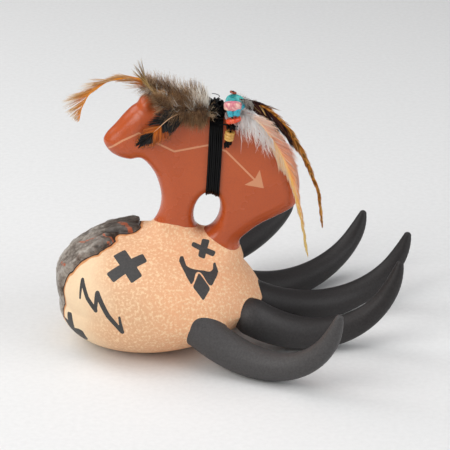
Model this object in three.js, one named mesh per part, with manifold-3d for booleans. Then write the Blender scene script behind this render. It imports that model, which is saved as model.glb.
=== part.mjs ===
// A small fired clay sculpture: a polished red bear stands on a bear's paw with five black claws.
// Waxed black thread, wound round the bear's belly, holds six feathers and a short strand of beads.
// Units are millimetres. +Z is up, the bear looks towards -X and its near side faces -Y.
// The origin is on the flat underside of the paw, so the sculpture stands on the plane z = 0.
import * as THREE from "three";
import { mergeVertices } from "three/addons/utils/BufferGeometryUtils.js";
import Module from "manifold-3d";

const wasm = await Module();
wasm.setup();

const TAU = Math.PI * 2;
const DEGREE = Math.PI / 180;
const GAP = 0.35; // left between pieces that touch in the real object

// Driving dimensions of the paw, the claws and the bear
const PAW = {
  x: 0.6,
  y: 4.8,
  length: 93.8,
  width: 81.2,
  height: 53.8,
  waist: 21.7,
  footing: 2.3, // how much of the round sole is cut away to leave a flat underside
  lean: -8.9, // the crown sits this far towards the heel
  soleLean: -9.9, // and so does the sole
};

const CLAW = { radius: 8.9, rootHeight: 23.5, taper: 0.65, taperPower: 1.33 };
const CLAWS = [
  { x: 13, y: -24, heading: -26, reach: 75, tip: 40, lift: 0, bury: 0.1 },
  { x: 36, y: -16, heading: 8, reach: 75.5, tip: 42.5, lift: 0, bury: -0.03 },
  { x: 36, y: 3, heading: 26, reach: 91.5, tip: 35, lift: 0, bury: 0.1 },
  { x: 26, y: 16, heading: 40, reach: 95, tip: 31.5, lift: 0, bury: 0 },
  { x: 12.5, y: 30, heading: 48.5, reach: 75.5, tip: 35, lift: 20, bury: 0 },
];

const CRUST = { rise: 1.7, ripple: 0.45, bottom: 15 };

const BEAR = {
  midplane: 4, // y of the middle of the upright slab
  halfThickness: 8.5,
  edgeInset: 4.5, // the faces round over to the outline across this width
  flatCore: 1.5,
  ear: { x: -5.4, z: 116.6, radius: 3.9, halfThickness: 6.5 },
};

// The bear's side outline, as x and z, from the nose over the back and down to the legs
const BEAR_OUTLINE = [
  ...[[-25.2, 98.6], [-24, 102.2], [-19.8, 106.8], [-15.2, 112.2], [-10.4, 116.2], [-3, 117.2]],
  ...[[5, 116], [14, 115.4], [22, 115.8], [30, 114.8], [38, 112.7], [45, 109.6], [51.2, 105.3]],
  ...[[56.9, 98.8], [60.6, 91], [63.2, 83], [64, 75], [61.8, 67.3]],
  ...[[53, 61.8], [46.4, 58.3], [40.5, 53.8], [36.4, 49], [34, 38]],
  ...[[-8, 44], [-7, 53.5], [-3.2, 59], [-0.4, 64.5], [0.7, 71], [-0.2, 77.5], [-2.8, 84.5]],
  ...[[-8, 90.9], [-13, 90.8], [-18, 91.8], [-22.5, 94.4]],
];

// The hole between the legs, as x and z, the other way round
const HOLE_OUTLINE = [
  ...[[20.2, 74.6], [17, 69.8], [15.5, 64.8], [15.9, 59.8], [17.5, 55.9], [20.2, 54.7]],
  ...[[23, 55.6], [25.8, 60.1], [27.5, 66.1], [28.1, 70.2], [27.2, 73.9], [23.9, 74.9]],
];

// Mounds of clay that carry the legs over into the paw
const LEG_MOUNDS = [
  { x: 6.5, z: 45.5, radii: [16, 14, 9.5] },
  { x: 26, z: 42, radii: [9, 13, 7.5] },
];

// The thread's windings: a band round the belly, through the hole between the legs
const WRAP = { top: 115.8, bottom: 73.3, xTop: 26.8, xBottom: 24.1, halfWidth: 3.1, strands: 6 };
const STRAND_RADIUS = 0.55;

// The strand of beads hangs down the near side of the bear, beside the windings
const THREAD_RADIUS = 0.4;
const BORE = THREAD_RADIUS + GAP;
const BEADS = [
  { name: "bead_red_cap", at: [34.1, -5.9, 125.9], radius: 1.4, height: 1, colour: 0x9a3a22 },
  { name: "bead_turquoise_disc", at: [34.3, -6.4, 123.4], radius: 4.75, height: 2.2, colour: 0x4fb3b4 },
  { name: "bead_pink_shell", at: [33.6, -6.7, 119.9], radius: 4, height: 3, colour: 0xd98a9c },
  { name: "bead_turquoise_upper", at: [34.3, -7.6, 117.2], radius: 2.4, height: 1.7, colour: 0x3fb4c6 },
  { name: "bead_turquoise_lower", at: [33.4, -8.2, 115.2], radius: 2.6, height: 1.7, colour: 0x3fb4c6 },
  { name: "bead_coral", at: [33.5, -8.6, 112.6], radius: 3.4, height: 1.5, colour: 0xe2502e },
  { name: "bead_yellow_shell_1", at: [32.4, -7.8, 107.2], radius: 2.3, height: 1.5, colour: 0xd9ac52 },
  { name: "bead_yellow_shell_2", at: [32, -7.7, 105.3], radius: 2.3, height: 1.5, colour: 0xd9ac52 },
  { name: "bead_yellow_shell_3", at: [31.7, -7.6, 103.4], radius: 2.2, height: 1.5, colour: 0xd9ac52 },
];
const KNOTS = [
  { at: [33.2, -8, 110.1], radius: 1.5 },
  { at: [31.2, -7.4, 101], radius: 1.4 },
];

// Feathers: a spine of points, half widths along it in the plane of the picture, and half depths
const FEATHERS = [
  {
    name: "feather_front_hackle",
    spine: [[22.7, 3, 118.2], [14.2, 3, 119.6], [6.1, 3, 121.5], [-2.5, 3, 124.5], [-6.3, 2.5, 128.1],
      [-12.6, 1.5, 129.8], [-18.5, 0, 129.7], [-22.8, -0.5, 128.8], [-27.1, -1, 126], [-32.8, -2, 120],
      [-34.6, -2.5, 116], [-35.5, -3, 111.2]],
    halfWidth: [0.8, 3.4, 3.8, 3.2, 2, 1.8, 2.4, 2.8, 3.4, 3.4, 2.4, 0.8],
    halfDepth: [0.8, 4, 4.2, 2.8, 1.2, 0.8, 0.8, 0.8, 0.8, 0.7, 0.6, 0.5],
    colour: 0xc98a45,
  },
  {
    name: "feather_spotted",
    spine: [[21.9, -6, 114.4], [14.3, -8, 117.1], [6.5, -9.4, 115.4], [-0.7, -9, 109], [-7.8, -6.8, 101.6]],
    halfWidth: [0.8, 4, 6.4, 5.2, 1],
    halfDepth: [0.5, 0.7, 0.8, 0.7, 0.5],
    colour: 0x8a5426,
  },
  {
    name: "feather_brown_down",
    spine: [[22, -4, 117.4], [14, -4.8, 118.2], [5.2, -5, 119.2], [-1, -4.6, 124.8], [-4.9, -3.8, 130.8],
      [-8.6, -2.6, 138.4]],
    halfWidth: [0.8, 5, 5.4, 4.2, 2, 0.7],
    halfDepth: [0.8, 3, 3.6, 2.6, 0.8, 0.6],
    colour: 0x7a6348,
  },
  {
    name: "feather_white_hackle",
    spine: [[30.8, -2.8, 115.7], [37.5, -4.4, 115.4], [44.9, -6.6, 111.5], [50.1, -6.8, 105],
      [54.8, -6.4, 97.3], [58.4, -6, 89.1], [61, -6, 80.9], [63.4, -6, 70.2], [65.3, -6, 60.7],
      [67.3, -6, 49.1]],
    halfWidth: [0.5, 0.8, 5.4, 5.4, 3.6, 2.6, 2.2, 1.8, 1.5, 0.8],
    halfDepth: [0.5, 0.7, 1.3, 1.3, 1, 0.8, 0.7, 0.6, 0.6, 0.5],
    colour: 0xe9c79a,
  },
  {
    name: "feather_striped_hackle",
    spine: [[30.8, 0, 119.7], [37.7, -2.5, 120.9], [44, -4, 119.7], [50.2, -4.5, 115.9], [57, -3.5, 108.7],
      [61.7, -1.5, 100.8], [65.8, 0.5, 92.3], [69, 2, 84], [71.9, 3, 75.8], [73.6, 4, 67.1], [74.6, 4, 58.1]],
    halfWidth: [0.5, 1.4, 2.6, 3, 2.8, 2.2, 2, 1.8, 1.6, 1.2, 0.6],
    halfDepth: [0.5, 1, 1, 0.9, 0.9, 0.8, 0.7, 0.7, 0.6, 0.6, 0.4],
    colour: 0x7a4a22,
  },
  {
    name: "feather_small_brown",
    spine: [[30.9, 8, 116.8], [38, 8.8, 116], [46, 8.8, 114.2], [54.6, 8.6, 111.4]],
    halfWidth: [0.5, 1.8, 1.6, 0.5],
    halfDepth: [0.5, 1.6, 1, 0.4],
    colour: 0x6b5138,
  },
];

// Helpers: closed skins, and solids made of them

// A sphere whose point at `turn` radians and at share `t` of the way down from its top is moved to place.
function skin(around, along, place) {
  const geometry = new THREE.SphereGeometry(1, around, along);
  const { position, uv } = geometry.attributes;
  for (let i = 0; i < position.count; i++) {
    const t = 1 - uv.getY(i);
    const atPole = t < 1e-9 || t > 1 - 1e-9;
    position.setXYZ(i, ...place(atPole ? 0 : TAU * uv.getX(i), t).toArray());
  }
  return geometry;
}

// A ring, bent the same way, whose point at share `t` round the ring and `turn` round its body is moved.
function ringSkin(around, along, place) {
  const geometry = new THREE.TorusGeometry(2, 1, around, along);
  const { position, uv } = geometry.attributes;
  for (let i = 0; i < position.count; i++) {
    const t = uv.getX(i) > 1 - 1e-9 ? 0 : uv.getX(i);
    const share = uv.getY(i) > 1 - 1e-9 ? 0 : uv.getY(i);
    position.setXYZ(i, ...place(share, t).toArray());
  }
  return geometry;
}

function solid(geometry) {
  const bare = geometry.clone();
  for (const name of ["normal", "uv"]) bare.deleteAttribute(name);
  const merged = mergeVertices(bare, 1e-4);
  const index = merged.index.array;
  const faces = [];
  for (let i = 0; i < index.length; i += 3) {
    const [a, b, c] = index.slice(i, i + 3);
    if (a !== b && b !== c && c !== a) faces.push(a, b, c);
  }
  const corners = {
    numProp: 3,
    vertProperties: new Float32Array(merged.attributes.position.array),
    triVerts: new Uint32Array(faces),
  };
  const made = new wasm.Manifold(new wasm.Mesh(corners));
  if (made.volume() > 0) return made;
  corners.triVerts.reverse();
  return new wasm.Manifold(new wasm.Mesh(corners));
}

function geometryOf(manifold) {
  const { numProp, vertProperties, triVerts } = manifold.getMesh();
  const corners = vertProperties.length / numProp;
  const position = new Float32Array(corners * 3);
  for (let i = 0; i < corners; i++)
    position.set(vertProperties.subarray(i * numProp, i * numProp + 3), i * 3);
  const geometry = new THREE.BufferGeometry();
  geometry.setAttribute("position", new THREE.BufferAttribute(position, 3));
  geometry.setIndex(new THREE.BufferAttribute(triVerts, 1));
  geometry.computeVertexNormals();
  return geometry;
}

function sum(solids) {
  return solids.reduce((whole, one) => whole.add(one));
}

function ellipsoid(x, y, z, [rx, ry, rz], around = 12, along = 8) {
  return solid(
    skin(around, along, (turn, t) => {
      const out = Math.sin(Math.PI * t);
      return new THREE.Vector3(
        x + rx * out * Math.cos(turn),
        y + ry * out * Math.sin(turn),
        z + rz * Math.cos(Math.PI * t),
      );
    }),
  );
}

// The value at share `t` of a list of evenly spaced values
function along(values, t) {
  const place = Math.min(t, 1 - 1e-9) * (values.length - 1);
  const step = Math.floor(place);
  return THREE.MathUtils.lerp(values[step], values[step + 1], place - step);
}

// The paw: an oval pad whose crown and sole both lean towards the heel
function pawPoint(turn, t, grow = 0) {
  const latitude = (0.5 - t) * Math.PI;
  const above = latitude > 0;
  const out = Math.cos(latitude);
  const rise = Math.abs(Math.sin(latitude));
  const z = above
    ? PAW.waist + (PAW.height + grow - PAW.waist) * rise
    : PAW.waist - (PAW.waist + PAW.footing + grow) * rise;
  return new THREE.Vector3(
    PAW.x + (PAW.length / 2 + grow) * out * Math.cos(turn) + (above ? PAW.lean : PAW.soleLean) * rise,
    PAW.y + (PAW.width / 2 + grow) * out * Math.sin(turn),
    z,
  );
}

function paw() {
  return solid(skin(32, 18, (turn, t) => pawPoint(turn, t)));
}

// The crust: a rippled, ragged-edged skin that stands proud over the heel and the far side
const CRUST_EDGE = [
  ...[[-9.5, 13], [-11.5, 2], [-16, 1.2], [-20.6, 2.4], [-22, -2.4], [-24, -7], [-29, -8.8]],
  ...[[-37, -8.4], [-45, -7.6], [-60, -6], [-60, 60], [-8, 60], [-10, 44], [-4, 34], [-9, 24]],
];

function crust() {
  const grown = skin(40, 22, (turn, t) => {
    const ripple = Math.sin(7 * turn + 9 * t) * Math.sin(13 * t - 3 * turn);
    return pawPoint(turn, t, CRUST.rise + CRUST.ripple * ripple);
  });
  const region = new THREE.ExtrudeGeometry(
    new THREE.Shape(CRUST_EDGE.map(([x, y]) => new THREE.Vector2(x, y))),
    { depth: 60, bevelEnabled: false },
  );
  region.translate(0, 0, CRUST.bottom);
  return solid(grown).intersect(solid(region));
}

// A claw: a round horn bent down towards the ground and up to a blunt tip, in an upright plane
function claw({ x, y, heading, reach, tip, lift, bury }) {
  const level = new THREE.Vector3(Math.cos(heading * DEGREE), Math.sin(heading * DEGREE), 0);
  const side = new THREE.Vector3(-level.y, level.x, 0);
  const at = (share, height) =>
    new THREE.Vector3(x, y, height).addScaledVector(level, share * reach);
  const spine = new THREE.CubicBezierCurve3(
    at(0, CLAW.rootHeight + 0.3 * lift),
    at(0.41, lift - 3.4),
    at(0.92, lift + 4.4),
    at(1, tip),
  );
  return solid(
    skin(10, 18, (turn, t) => {
      const part = (1 - Math.cos(Math.PI * t)) / 2; // rings crowd together at both ends
      const share = THREE.MathUtils.lerp(-bury, 1, part);
      const ahead = spine.getPoint(share + 0.01).sub(spine.getPoint(share - 0.01)).normalize();
      const across = new THREE.Vector3().crossVectors(ahead, side);
      const radius = clawRadius(share, part);
      return spine
        .getPoint(share)
        .addScaledVector(side, radius * Math.cos(turn))
        .addScaledVector(across, radius * Math.sin(turn));
    }),
  );
}

// Round at the root, then thinner and thinner towards a blunt tip
function clawRadius(share, part) {
  const cap = (near) => Math.sqrt(Math.max(0, 1 - (1 - Math.min(1, near)) ** 2));
  const body = 1 - CLAW.taper * Math.max(share, 0) ** CLAW.taperPower;
  return CLAW.radius * body * cap(part / 0.09) * cap((1 - part) / 0.05);
}

// The bear: a slab with its edges rounded over, a hole between the legs, and an ear.
// `grow` makes it larger all round, for cutting clearances.
function bear(grow = 0) {
  const { halfThickness, edgeInset, flatCore, midplane, ear } = BEAR;
  const outline = new THREE.Shape(BEAR_OUTLINE.map(([x, z]) => new THREE.Vector2(x, z)));
  const rim = new THREE.CatmullRomCurve3(HOLE_OUTLINE.map(([x, z]) => new THREE.Vector3(x, z, 0)), true);
  outline.holes.push(new THREE.Path(rim.getPoints(24).slice(1)));
  const slab = new THREE.ExtrudeGeometry(outline, {
    depth: flatCore,
    bevelThickness: halfThickness - flatCore / 2 + grow,
    bevelSize: edgeInset,
    bevelOffset: grow - edgeInset,
    bevelSegments: 4,
    curveSegments: 8,
  });
  slab.translate(0, 0, -flatCore / 2);
  slab.rotateX(Math.PI / 2);
  slab.translate(0, midplane, 0);
  const earRadii = [ear.radius + grow, ear.halfThickness + grow, ear.radius + grow];
  return solid(slab).add(ellipsoid(ear.x, midplane, ear.z, earRadii));
}

function ground() {
  const block = new THREE.BoxGeometry(400, 400, 40);
  block.translate(0, 0, -20);
  return solid(block);
}

function clay() {
  const mounds = LEG_MOUNDS.map(({ x, z, radii }) => ellipsoid(x, BEAR.midplane, z, radii, 16, 8));
  return sum([paw(), crust(), ...CLAWS.map(claw), bear(), ...mounds]).subtract(ground());
}

// Once round the belly: half an oval over the back, straight down the near face, half an oval
// through the hole and straight up the far face. Gives x, y and z.
function roundBelly(t, height) {
  const { halfThickness, edgeInset, midplane } = BEAR;
  const quarter = Math.floor(4 * t) % 4;
  const step = 4 * t - Math.floor(4 * t);
  const cos = Math.cos(Math.PI * step);
  const reach = (edgeInset + GAP + height) * Math.sin(Math.PI * step);
  const high = WRAP.top - edgeInset;
  const low = WRAP.bottom + edgeInset;
  const side = [cos, -1, -cos, 1][quarter];
  const z = [high + reach, high + (low - high) * step, low - reach, low + (high - low) * step][quarter];
  const share = THREE.MathUtils.inverseLerp(WRAP.bottom, WRAP.top, z);
  const x = THREE.MathUtils.lerp(WRAP.xBottom, WRAP.xTop, share);
  return new THREE.Vector3(x, midplane + side * (halfThickness + GAP + height), z);
}

// The windings: a band with a ridge for every strand, carried round the belly
function windings(grow = 0) {
  const ridges = 2 * WRAP.strands;
  return solid(
    ringSkin(ridges + 3, 32, (share, t) => {
      const corner = Math.round(share * (ridges + 3));
      const inner = corner > ridges;
      const across = inner ? (corner === ridges + 1 ? 1 : -1) : (2 * corner) / ridges - 1;
      const valley = corner % 2 === 0;
      const height = inner ? -grow : (valley ? STRAND_RADIUS : 2 * STRAND_RADIUS) + grow;
      const point = roundBelly(t, height);
      point.x += (WRAP.halfWidth + grow) * across;
      return point;
    }),
  );
}

// A round thread along a path of points, with a knot wherever one is given
function thread(points, knots = [], around = 6, steps = 12) {
  const path = new THREE.CatmullRomCurve3(points.map((p) => new THREE.Vector3(...p)));
  const frames = path.computeFrenetFrames(steps);
  const tube = skin(around, steps + 2, (turn, t) => {
    const step = THREE.MathUtils.clamp(Math.round(t * (steps + 2)) - 1, 0, steps);
    const centre = path.getPointAt(step / steps);
    const radius = t < 1e-9 || t > 1 - 1e-9 ? 0 : THREAD_RADIUS;
    return centre
      .addScaledVector(frames.normals[step], radius * Math.cos(turn))
      .addScaledVector(frames.binormals[step], radius * Math.sin(turn));
  });
  const lumps = knots.map(({ at, radius }) => ellipsoid(...at, [radius, radius, radius], 7, 5));
  return sum([solid(tube), ...lumps]);
}

function waxedThread() {
  const strand = thread(
    [[34.1, -5.8, 126.6], ...BEADS.slice(0, 6).map((bead) => bead.at), KNOTS[0].at,
      ...BEADS.slice(6).map((bead) => bead.at), KNOTS[1].at],
    KNOTS,
    5,
    18,
  );
  const tie = thread([[27, -5.2, 110], [30, -6.8, 110.4], [33, -8, 109.7]], [], 5, 3);
  const tails = [
    [[25, -1, 117], [23.6, -2, 119.6], [24.6, -3.4, 121.8]],
    [[27, 1, 117], [27.6, 0, 120.4], [29.6, -1.4, 122.6]],
    [[26, 5, 117], [25.4, 6.4, 119.4], [23.4, 7.6, 120.4]],
  ];
  const knots = [
    { at: [25.2, -1, 117.6], radius: 1.7 },
    { at: [27.4, 1.6, 117.8], radius: 1.8 },
    { at: [25.8, 5, 117.6], radius: 1.6 },
  ];
  return sum([windings(), strand, tie, ...tails.map((tail, i) => thread(tail, [knots[i]], 5, 3))]);
}

// A bead: a ring with rounded edges on the thread, square to it
function bead(index) {
  const { at, radius, height } = BEADS[index];
  const centre = new THREE.Vector3(...at);
  const above = new THREE.Vector3(...BEADS[Math.max(index - 1, 0)].at);
  const below = new THREE.Vector3(...BEADS[Math.min(index + 1, BEADS.length - 1)].at);
  const turned = new THREE.Quaternion().setFromUnitVectors(
    new THREE.Vector3(0, 0, 1),
    above.sub(below).normalize(),
  );
  const profile = [
    [BORE, -0.42],
    [radius * 0.82, -0.5],
    [radius, -0.26],
    [radius, 0.26],
    [radius * 0.82, 0.5],
    [BORE, 0.42],
  ];
  return solid(
    ringSkin(profile.length, 10, (share, t) => {
      const [out, up] = profile[Math.round(share * profile.length) % profile.length];
      return new THREE.Vector3(out * Math.cos(TAU * t), out * Math.sin(TAU * t), up * height)
        .applyQuaternion(turned)
        .add(centre);
    }),
  );
}

// A feather: a flattened blade along its spine, broad in the plane of the picture and thin across it
function feather({ spine, halfWidth, halfDepth }, grow = 0) {
  const path = new THREE.CatmullRomCurve3(spine.map((p) => new THREE.Vector3(...p)));
  const steps = 2 * (spine.length - 1);
  const across = new THREE.Vector3(0, 1, 0);
  return solid(
    skin(8, steps + 2, (turn, t) => {
      const share = THREE.MathUtils.clamp((t * (steps + 2) - 1) / steps, 0, 1);
      const atPole = t < 1e-9 || t > 1 - 1e-9;
      const wide = new THREE.Vector3().crossVectors(path.getTangent(share), across).normalize();
      const width = atPole ? 0 : along(halfWidth, share) + grow;
      const depth = atPole ? 0 : along(halfDepth, share) + grow;
      return path
        .getPoint(share)
        .addScaledVector(wide, width * Math.cos(turn))
        .addScaledVector(across, depth * Math.sin(turn));
    }),
  );
}

// The sculpture: every piece is cut clear of the pieces that were there before it
const sculpture = new THREE.Group();

function add(name, shape, colour, roughness) {
  const material = new THREE.MeshStandardMaterial({ color: colour, roughness, metalness: 0 });
  const mesh = new THREE.Mesh(geometryOf(shape), material);
  mesh.name = name;
  sculpture.add(mesh);
}

add("clay_bear_on_paw", clay(), 0xd98a62, 0.6);
add("waxed_thread", waxedThread(), 0x161616, 0.4);
BEADS.forEach(({ name, colour }, index) => add(name, bead(index), colour, 0.35));

const clearances = sum([bear(GAP), windings(GAP)]);
let taken = clearances;
for (const each of FEATHERS) {
  add(each.name, feather(each).subtract(taken), each.colour, 0.8);
  taken = taken.add(feather(each, GAP));
}

export default sculpture;
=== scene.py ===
"""A polished red clay bear on a speckled clay bear's paw with five dark claws.

Dark waxed thread round the bear's belly holds a strand of beads and six feathers.
Shapes are worked out in millimetres, in the CAD frame: +Z up, +X towards the claws, -Y the near side.
They go into the meshes in metres. Each surface is worked out with numpy, as whole arrays.
"""

import math
from itertools import product

import bpy
import numpy as np
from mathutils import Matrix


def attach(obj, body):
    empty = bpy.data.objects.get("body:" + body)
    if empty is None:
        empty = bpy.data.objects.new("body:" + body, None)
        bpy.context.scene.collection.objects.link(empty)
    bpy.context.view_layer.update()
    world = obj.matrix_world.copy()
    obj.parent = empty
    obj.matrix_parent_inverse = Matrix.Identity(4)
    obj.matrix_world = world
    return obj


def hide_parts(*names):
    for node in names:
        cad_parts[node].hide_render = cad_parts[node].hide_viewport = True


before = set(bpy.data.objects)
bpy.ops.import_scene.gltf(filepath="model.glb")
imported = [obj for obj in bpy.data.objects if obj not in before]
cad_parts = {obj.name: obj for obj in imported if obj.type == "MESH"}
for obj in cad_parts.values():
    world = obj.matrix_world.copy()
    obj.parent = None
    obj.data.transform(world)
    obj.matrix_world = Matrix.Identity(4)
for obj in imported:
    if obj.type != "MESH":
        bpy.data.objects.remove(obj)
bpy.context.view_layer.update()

MM = 0.001
TAU = 2 * math.pi


# The camera stands where the photograph's did: 1 m off, 24 degrees above the floor

TARGET = np.array([29.9, 0.0, 58.4])
DISTANCE = 1000.0
ELEVATION = math.radians(24)
FOCAL_PIXELS = 2173.9
IMAGE_WIDTH = 450
SENSOR_WIDTH = 36


def make_camera():
    data = bpy.data.cameras.new("camera")
    data.sensor_width = SENSOR_WIDTH
    data.lens = SENSOR_WIDTH * FOCAL_PIXELS / IMAGE_WIDTH
    data.clip_start = 0.05
    camera = bpy.data.objects.new("camera", data)
    back = np.array([0, -math.cos(ELEVATION), math.sin(ELEVATION)])
    camera.location = (TARGET + DISTANCE * back) * MM
    camera.rotation_euler = (math.pi / 2 - ELEVATION, 0, 0)
    bpy.context.collection.objects.link(camera)
    bpy.context.scene.camera = camera


make_camera()


# Meshes


def make_piece(name, points, faces, finish, slot, replaces, **attributes):
    """A smooth mesh of points in millimetres and faces, a list of arrays with one row for each face.
    Each attribute is one value for each point."""
    mesh = bpy.data.meshes.new(name)
    mesh.vertices.add(len(points))
    mesh.vertices.foreach_set("co", (np.asarray(points) * MM).astype(np.float32).ravel())
    corners = np.concatenate([np.asarray(rows).ravel() for rows in faces])
    sizes = np.concatenate([np.full(len(rows), np.shape(rows)[1]) for rows in faces])
    mesh.loops.add(len(corners))
    mesh.loops.foreach_set("vertex_index", corners.astype(np.int32))
    mesh.polygons.add(len(sizes))
    mesh.polygons.foreach_set("loop_start", (np.cumsum(sizes) - sizes).astype(np.int32))
    mesh.update(calc_edges=True)
    mesh.polygons.foreach_set("use_smooth", np.full(len(sizes), True))
    for key, values in attributes.items():
        layer = mesh.attributes.new(key, "FLOAT", "POINT")
        layer.data.foreach_set("value", np.asarray(values, np.float32).ravel())
    mesh.materials.append(finish)
    piece = bpy.data.objects.new(name, mesh)
    bpy.context.collection.objects.link(piece)
    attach(piece, "root")
    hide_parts(*replaces)


# Large odd numbers that scramble a lattice corner's place and a seed into the corner's value
X_KEY, Y_KEY, Z_KEY, SEED_KEY, LAST_KEY = 374761393, 668265263, 1440670441, 974634777, 1274126177
LOW_BITS = 0xFFFFFFFF


def noise(points, spacing, seed=0):
    """Smooth noise from -1 to 1. Every corner of a cubic lattice has a scrambled value of its own,
    and a point takes the eased blend of the eight corners round it."""
    place = np.asarray(points, float) / spacing
    cell = np.floor(place).astype(np.int64)
    part = place - cell
    ease = part * part * (3 - 2 * part)
    total = np.zeros(len(place))
    for corner in product((0, 1), repeat=3):
        x, y, z = (cell + corner).T
        key = (x * X_KEY + y * Y_KEY + z * Z_KEY + (seed + 1) * SEED_KEY) & LOW_BITS
        key = ((key ^ (key >> 13)) * LAST_KEY) & LOW_BITS
        key ^= key >> 16
        share = np.where(corner, ease, 1 - ease).prod(axis=1)
        total += share * (key / 2**31 - 1)
    return total


def layered_noise(points, spacing, layers=3, seed=0):
    """Noise at the given spacing, plus half as much at half the spacing, and so on."""
    total = np.zeros(len(points))
    for layer in range(layers):
        total += noise(points, spacing / 2**layer, seed + layer) / 2**layer
    return total


# The clay: distances in millimetres to each form, negative inside it

PAW = {
    "x": 0.6, "y": 4.8, "half_length": 46.9, "half_width": 40.6, "waist": 21.7, "crown": 32.1,
    "sole": 24, "lean": -8.9, "sole_lean": -9.9,
}
CLAW = {
    "radius": 8.9, "root": 23.5, "root_lift": 0.3,
    "taper": 0.65, "taper_power": 1.33, "point_from": 0.84, "point": 0.8,
    "belly": (0.41, -3.4), "bend": (0.92, 4.4),  # each a share of the reach and a height
}
CLAW_STATIONS = 48
CLAWS = [  # x, y, heading in degrees, reach, height of the tip, lift, first and last share
    (13, -24, -26, 75, 40, 0, -0.027, 0.987),
    (36, -16, 8, 75.5, 42.5, 0.7, 0.07, 0.987),
    (36, 3, 26, 91.5, 35, -0.5, 0, 0.985),
    (26, 16, 40, 95, 31.5, 0, 0, 0.985),
    (12.5, 30, 48.5, 75.5, 35, 20, 0, 0.975),
]
BEAR = {"middle_y": 4, "half_thickness": 8.5, "rounding": 8, "scale": 8.2}
MUZZLE = {"from": -8, "length": 17, "thinner": 0.22}
EAR = ((-5.4, 4, 116.6), (3.9, 6.5, 3.9))
BEAR_HOLE = {
    "x": 21.5, "z": 64.7, "half_width": 5.8, "half_height": 10, "lean": math.radians(-14), "rounding": 4.5,
}
BEAR_OUTLINE = np.array(
    [(-25.2, 98.6), (-24, 102.2), (-19.8, 106.8), (-15.2, 112.2), (-10.4, 116.2), (-3, 117.2)]
    + [(5, 116), (14, 115.4), (22, 115.8), (30, 114.8), (38, 112.7), (45, 109.6), (51.2, 105.3)]
    + [(56.9, 98.8), (60.6, 91), (63.2, 83), (64, 75), (61.8, 67.3), (53, 61.8), (46.4, 58.3)]
    + [(40.5, 53.8), (36.4, 49), (34, 38), (-8, 44), (-7, 53.5), (-3.2, 59), (-0.4, 64.5)]
    + [(0.7, 71), (-0.2, 77.5), (-2.8, 84.5), (-8, 90.6), (-13, 90.2), (-18, 91.2), (-22.5, 94)]
)
LEG_MOUNDS = [((6.5, 4, 45.5), (16, 14, 9.5)), ((26, 4, 42), (9, 13, 7.5))]
CRUST_EDGE = np.array(
    [(-9.8, 13), (-10, 5), (-11.5, 2.2), (-15.5, 1.4), (-19.4, 2.6), (-21, 0.4), (-21.6, -3), (-24, -6.6)]
    + [(-29, -8.8), (-37, -8.4), (-45, -7.6), (-60, -6), (-60, 60)]
    + [(-26, 60), (-20, 48), (-13, 34), (-10.6, 22)]
)
CRUST = {
    "rise": 2.1, "bottom": 15, "shoulder": 1.1, "lumps": 0.55, "folds": 0.5,
    "bent": 1.5, "torn": 0.9, "nicked": 0.5, "bottom_torn": 1.5,
    "thin_from": 12, "thin_over": 24, "thinnest": 0.1,
}
FILLET = {"bear": 7, "mounds": 5, "ear": 2, "claws": 0.9, "floor": 0.8}
FAR = 30.0  # stands for any greater distance, where the exact one doesn't matter
CRUST_NEAR = 7
CLAW_NEAR = 16


def paw_distance(x, y, z):
    """An oval pad whose crown and sole both lean towards the heel: the scaled length of a point, less one,
    over its slope, so that it reads in millimetres near the surface."""
    above = z > PAW["waist"]
    height = np.where(above, PAW["crown"], PAW["sole"])
    lean = np.where(above, PAW["lean"], PAW["sole_lean"])
    rise = np.abs(z - PAW["waist"]) / height
    u = (x - PAW["x"] - lean * rise) / PAW["half_length"]
    v = (y - PAW["y"]) / PAW["half_width"]
    length = np.sqrt(u * u + v * v + rise * rise) + 1e-6
    slope = np.sqrt(
        (u / PAW["half_length"]) ** 2
        + (v / PAW["half_width"]) ** 2
        + ((rise - u * lean / PAW["half_length"]) / height) ** 2
    )
    return length * (length - 1) / (slope + 1e-4)


def ellipsoid_distance(x, y, z, centre, radii):
    """The scaled length of a point, less one, over its slope."""
    offset = [(x - centre[0]) / radii[0], (y - centre[1]) / radii[1], (z - centre[2]) / radii[2]]
    length = np.sqrt(sum(part**2 for part in offset)) + 1e-6
    slope = np.sqrt(sum((part / radius) ** 2 for part, radius in zip(offset, radii))) + 1e-3
    return length * (length - 1) / slope


def rounded_loop(points, parts=5):
    """A closed loop of points, with smooth cubic pieces between them."""
    previous, following, second = np.roll(points, 1, 0), np.roll(points, -1, 0), np.roll(points, -2, 0)
    steps = []
    for t in np.arange(parts) / parts:
        steps.append(
            0.5 * (2 * points + (following - previous) * t
                   + (2 * previous - 5 * points + 4 * following - second) * t * t
                   + (3 * points - previous - 3 * following + second) * t**3)
        )
    return np.stack(steps, 1).reshape(-1, 2)


def polygon_distance(u, v, corners):
    """The distance to the nearest side of a closed polygon, negative inside it."""
    nearest = np.full(np.broadcast(u, v).shape, 1e9)
    inside = np.zeros(nearest.shape, bool)
    for (u0, v0), (u1, v1) in zip(corners, np.roll(corners, -1, axis=0)):
        along = ((u - u0) * (u1 - u0) + (v - v0) * (v1 - v0)) / ((u1 - u0) ** 2 + (v1 - v0) ** 2)
        along = np.clip(along, 0, 1)
        gap = (u - u0 - along * (u1 - u0)) ** 2 + (v - v0 - along * (v1 - v0)) ** 2
        nearest = np.minimum(nearest, gap)
        if v0 != v1:
            crosses = ((v0 > v) != (v1 > v)) & (u < (u1 - u0) * (v - v0) / (v1 - v0) + u0)
            inside ^= crosses
    return np.where(inside, -1, 1) * np.sqrt(nearest)


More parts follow.
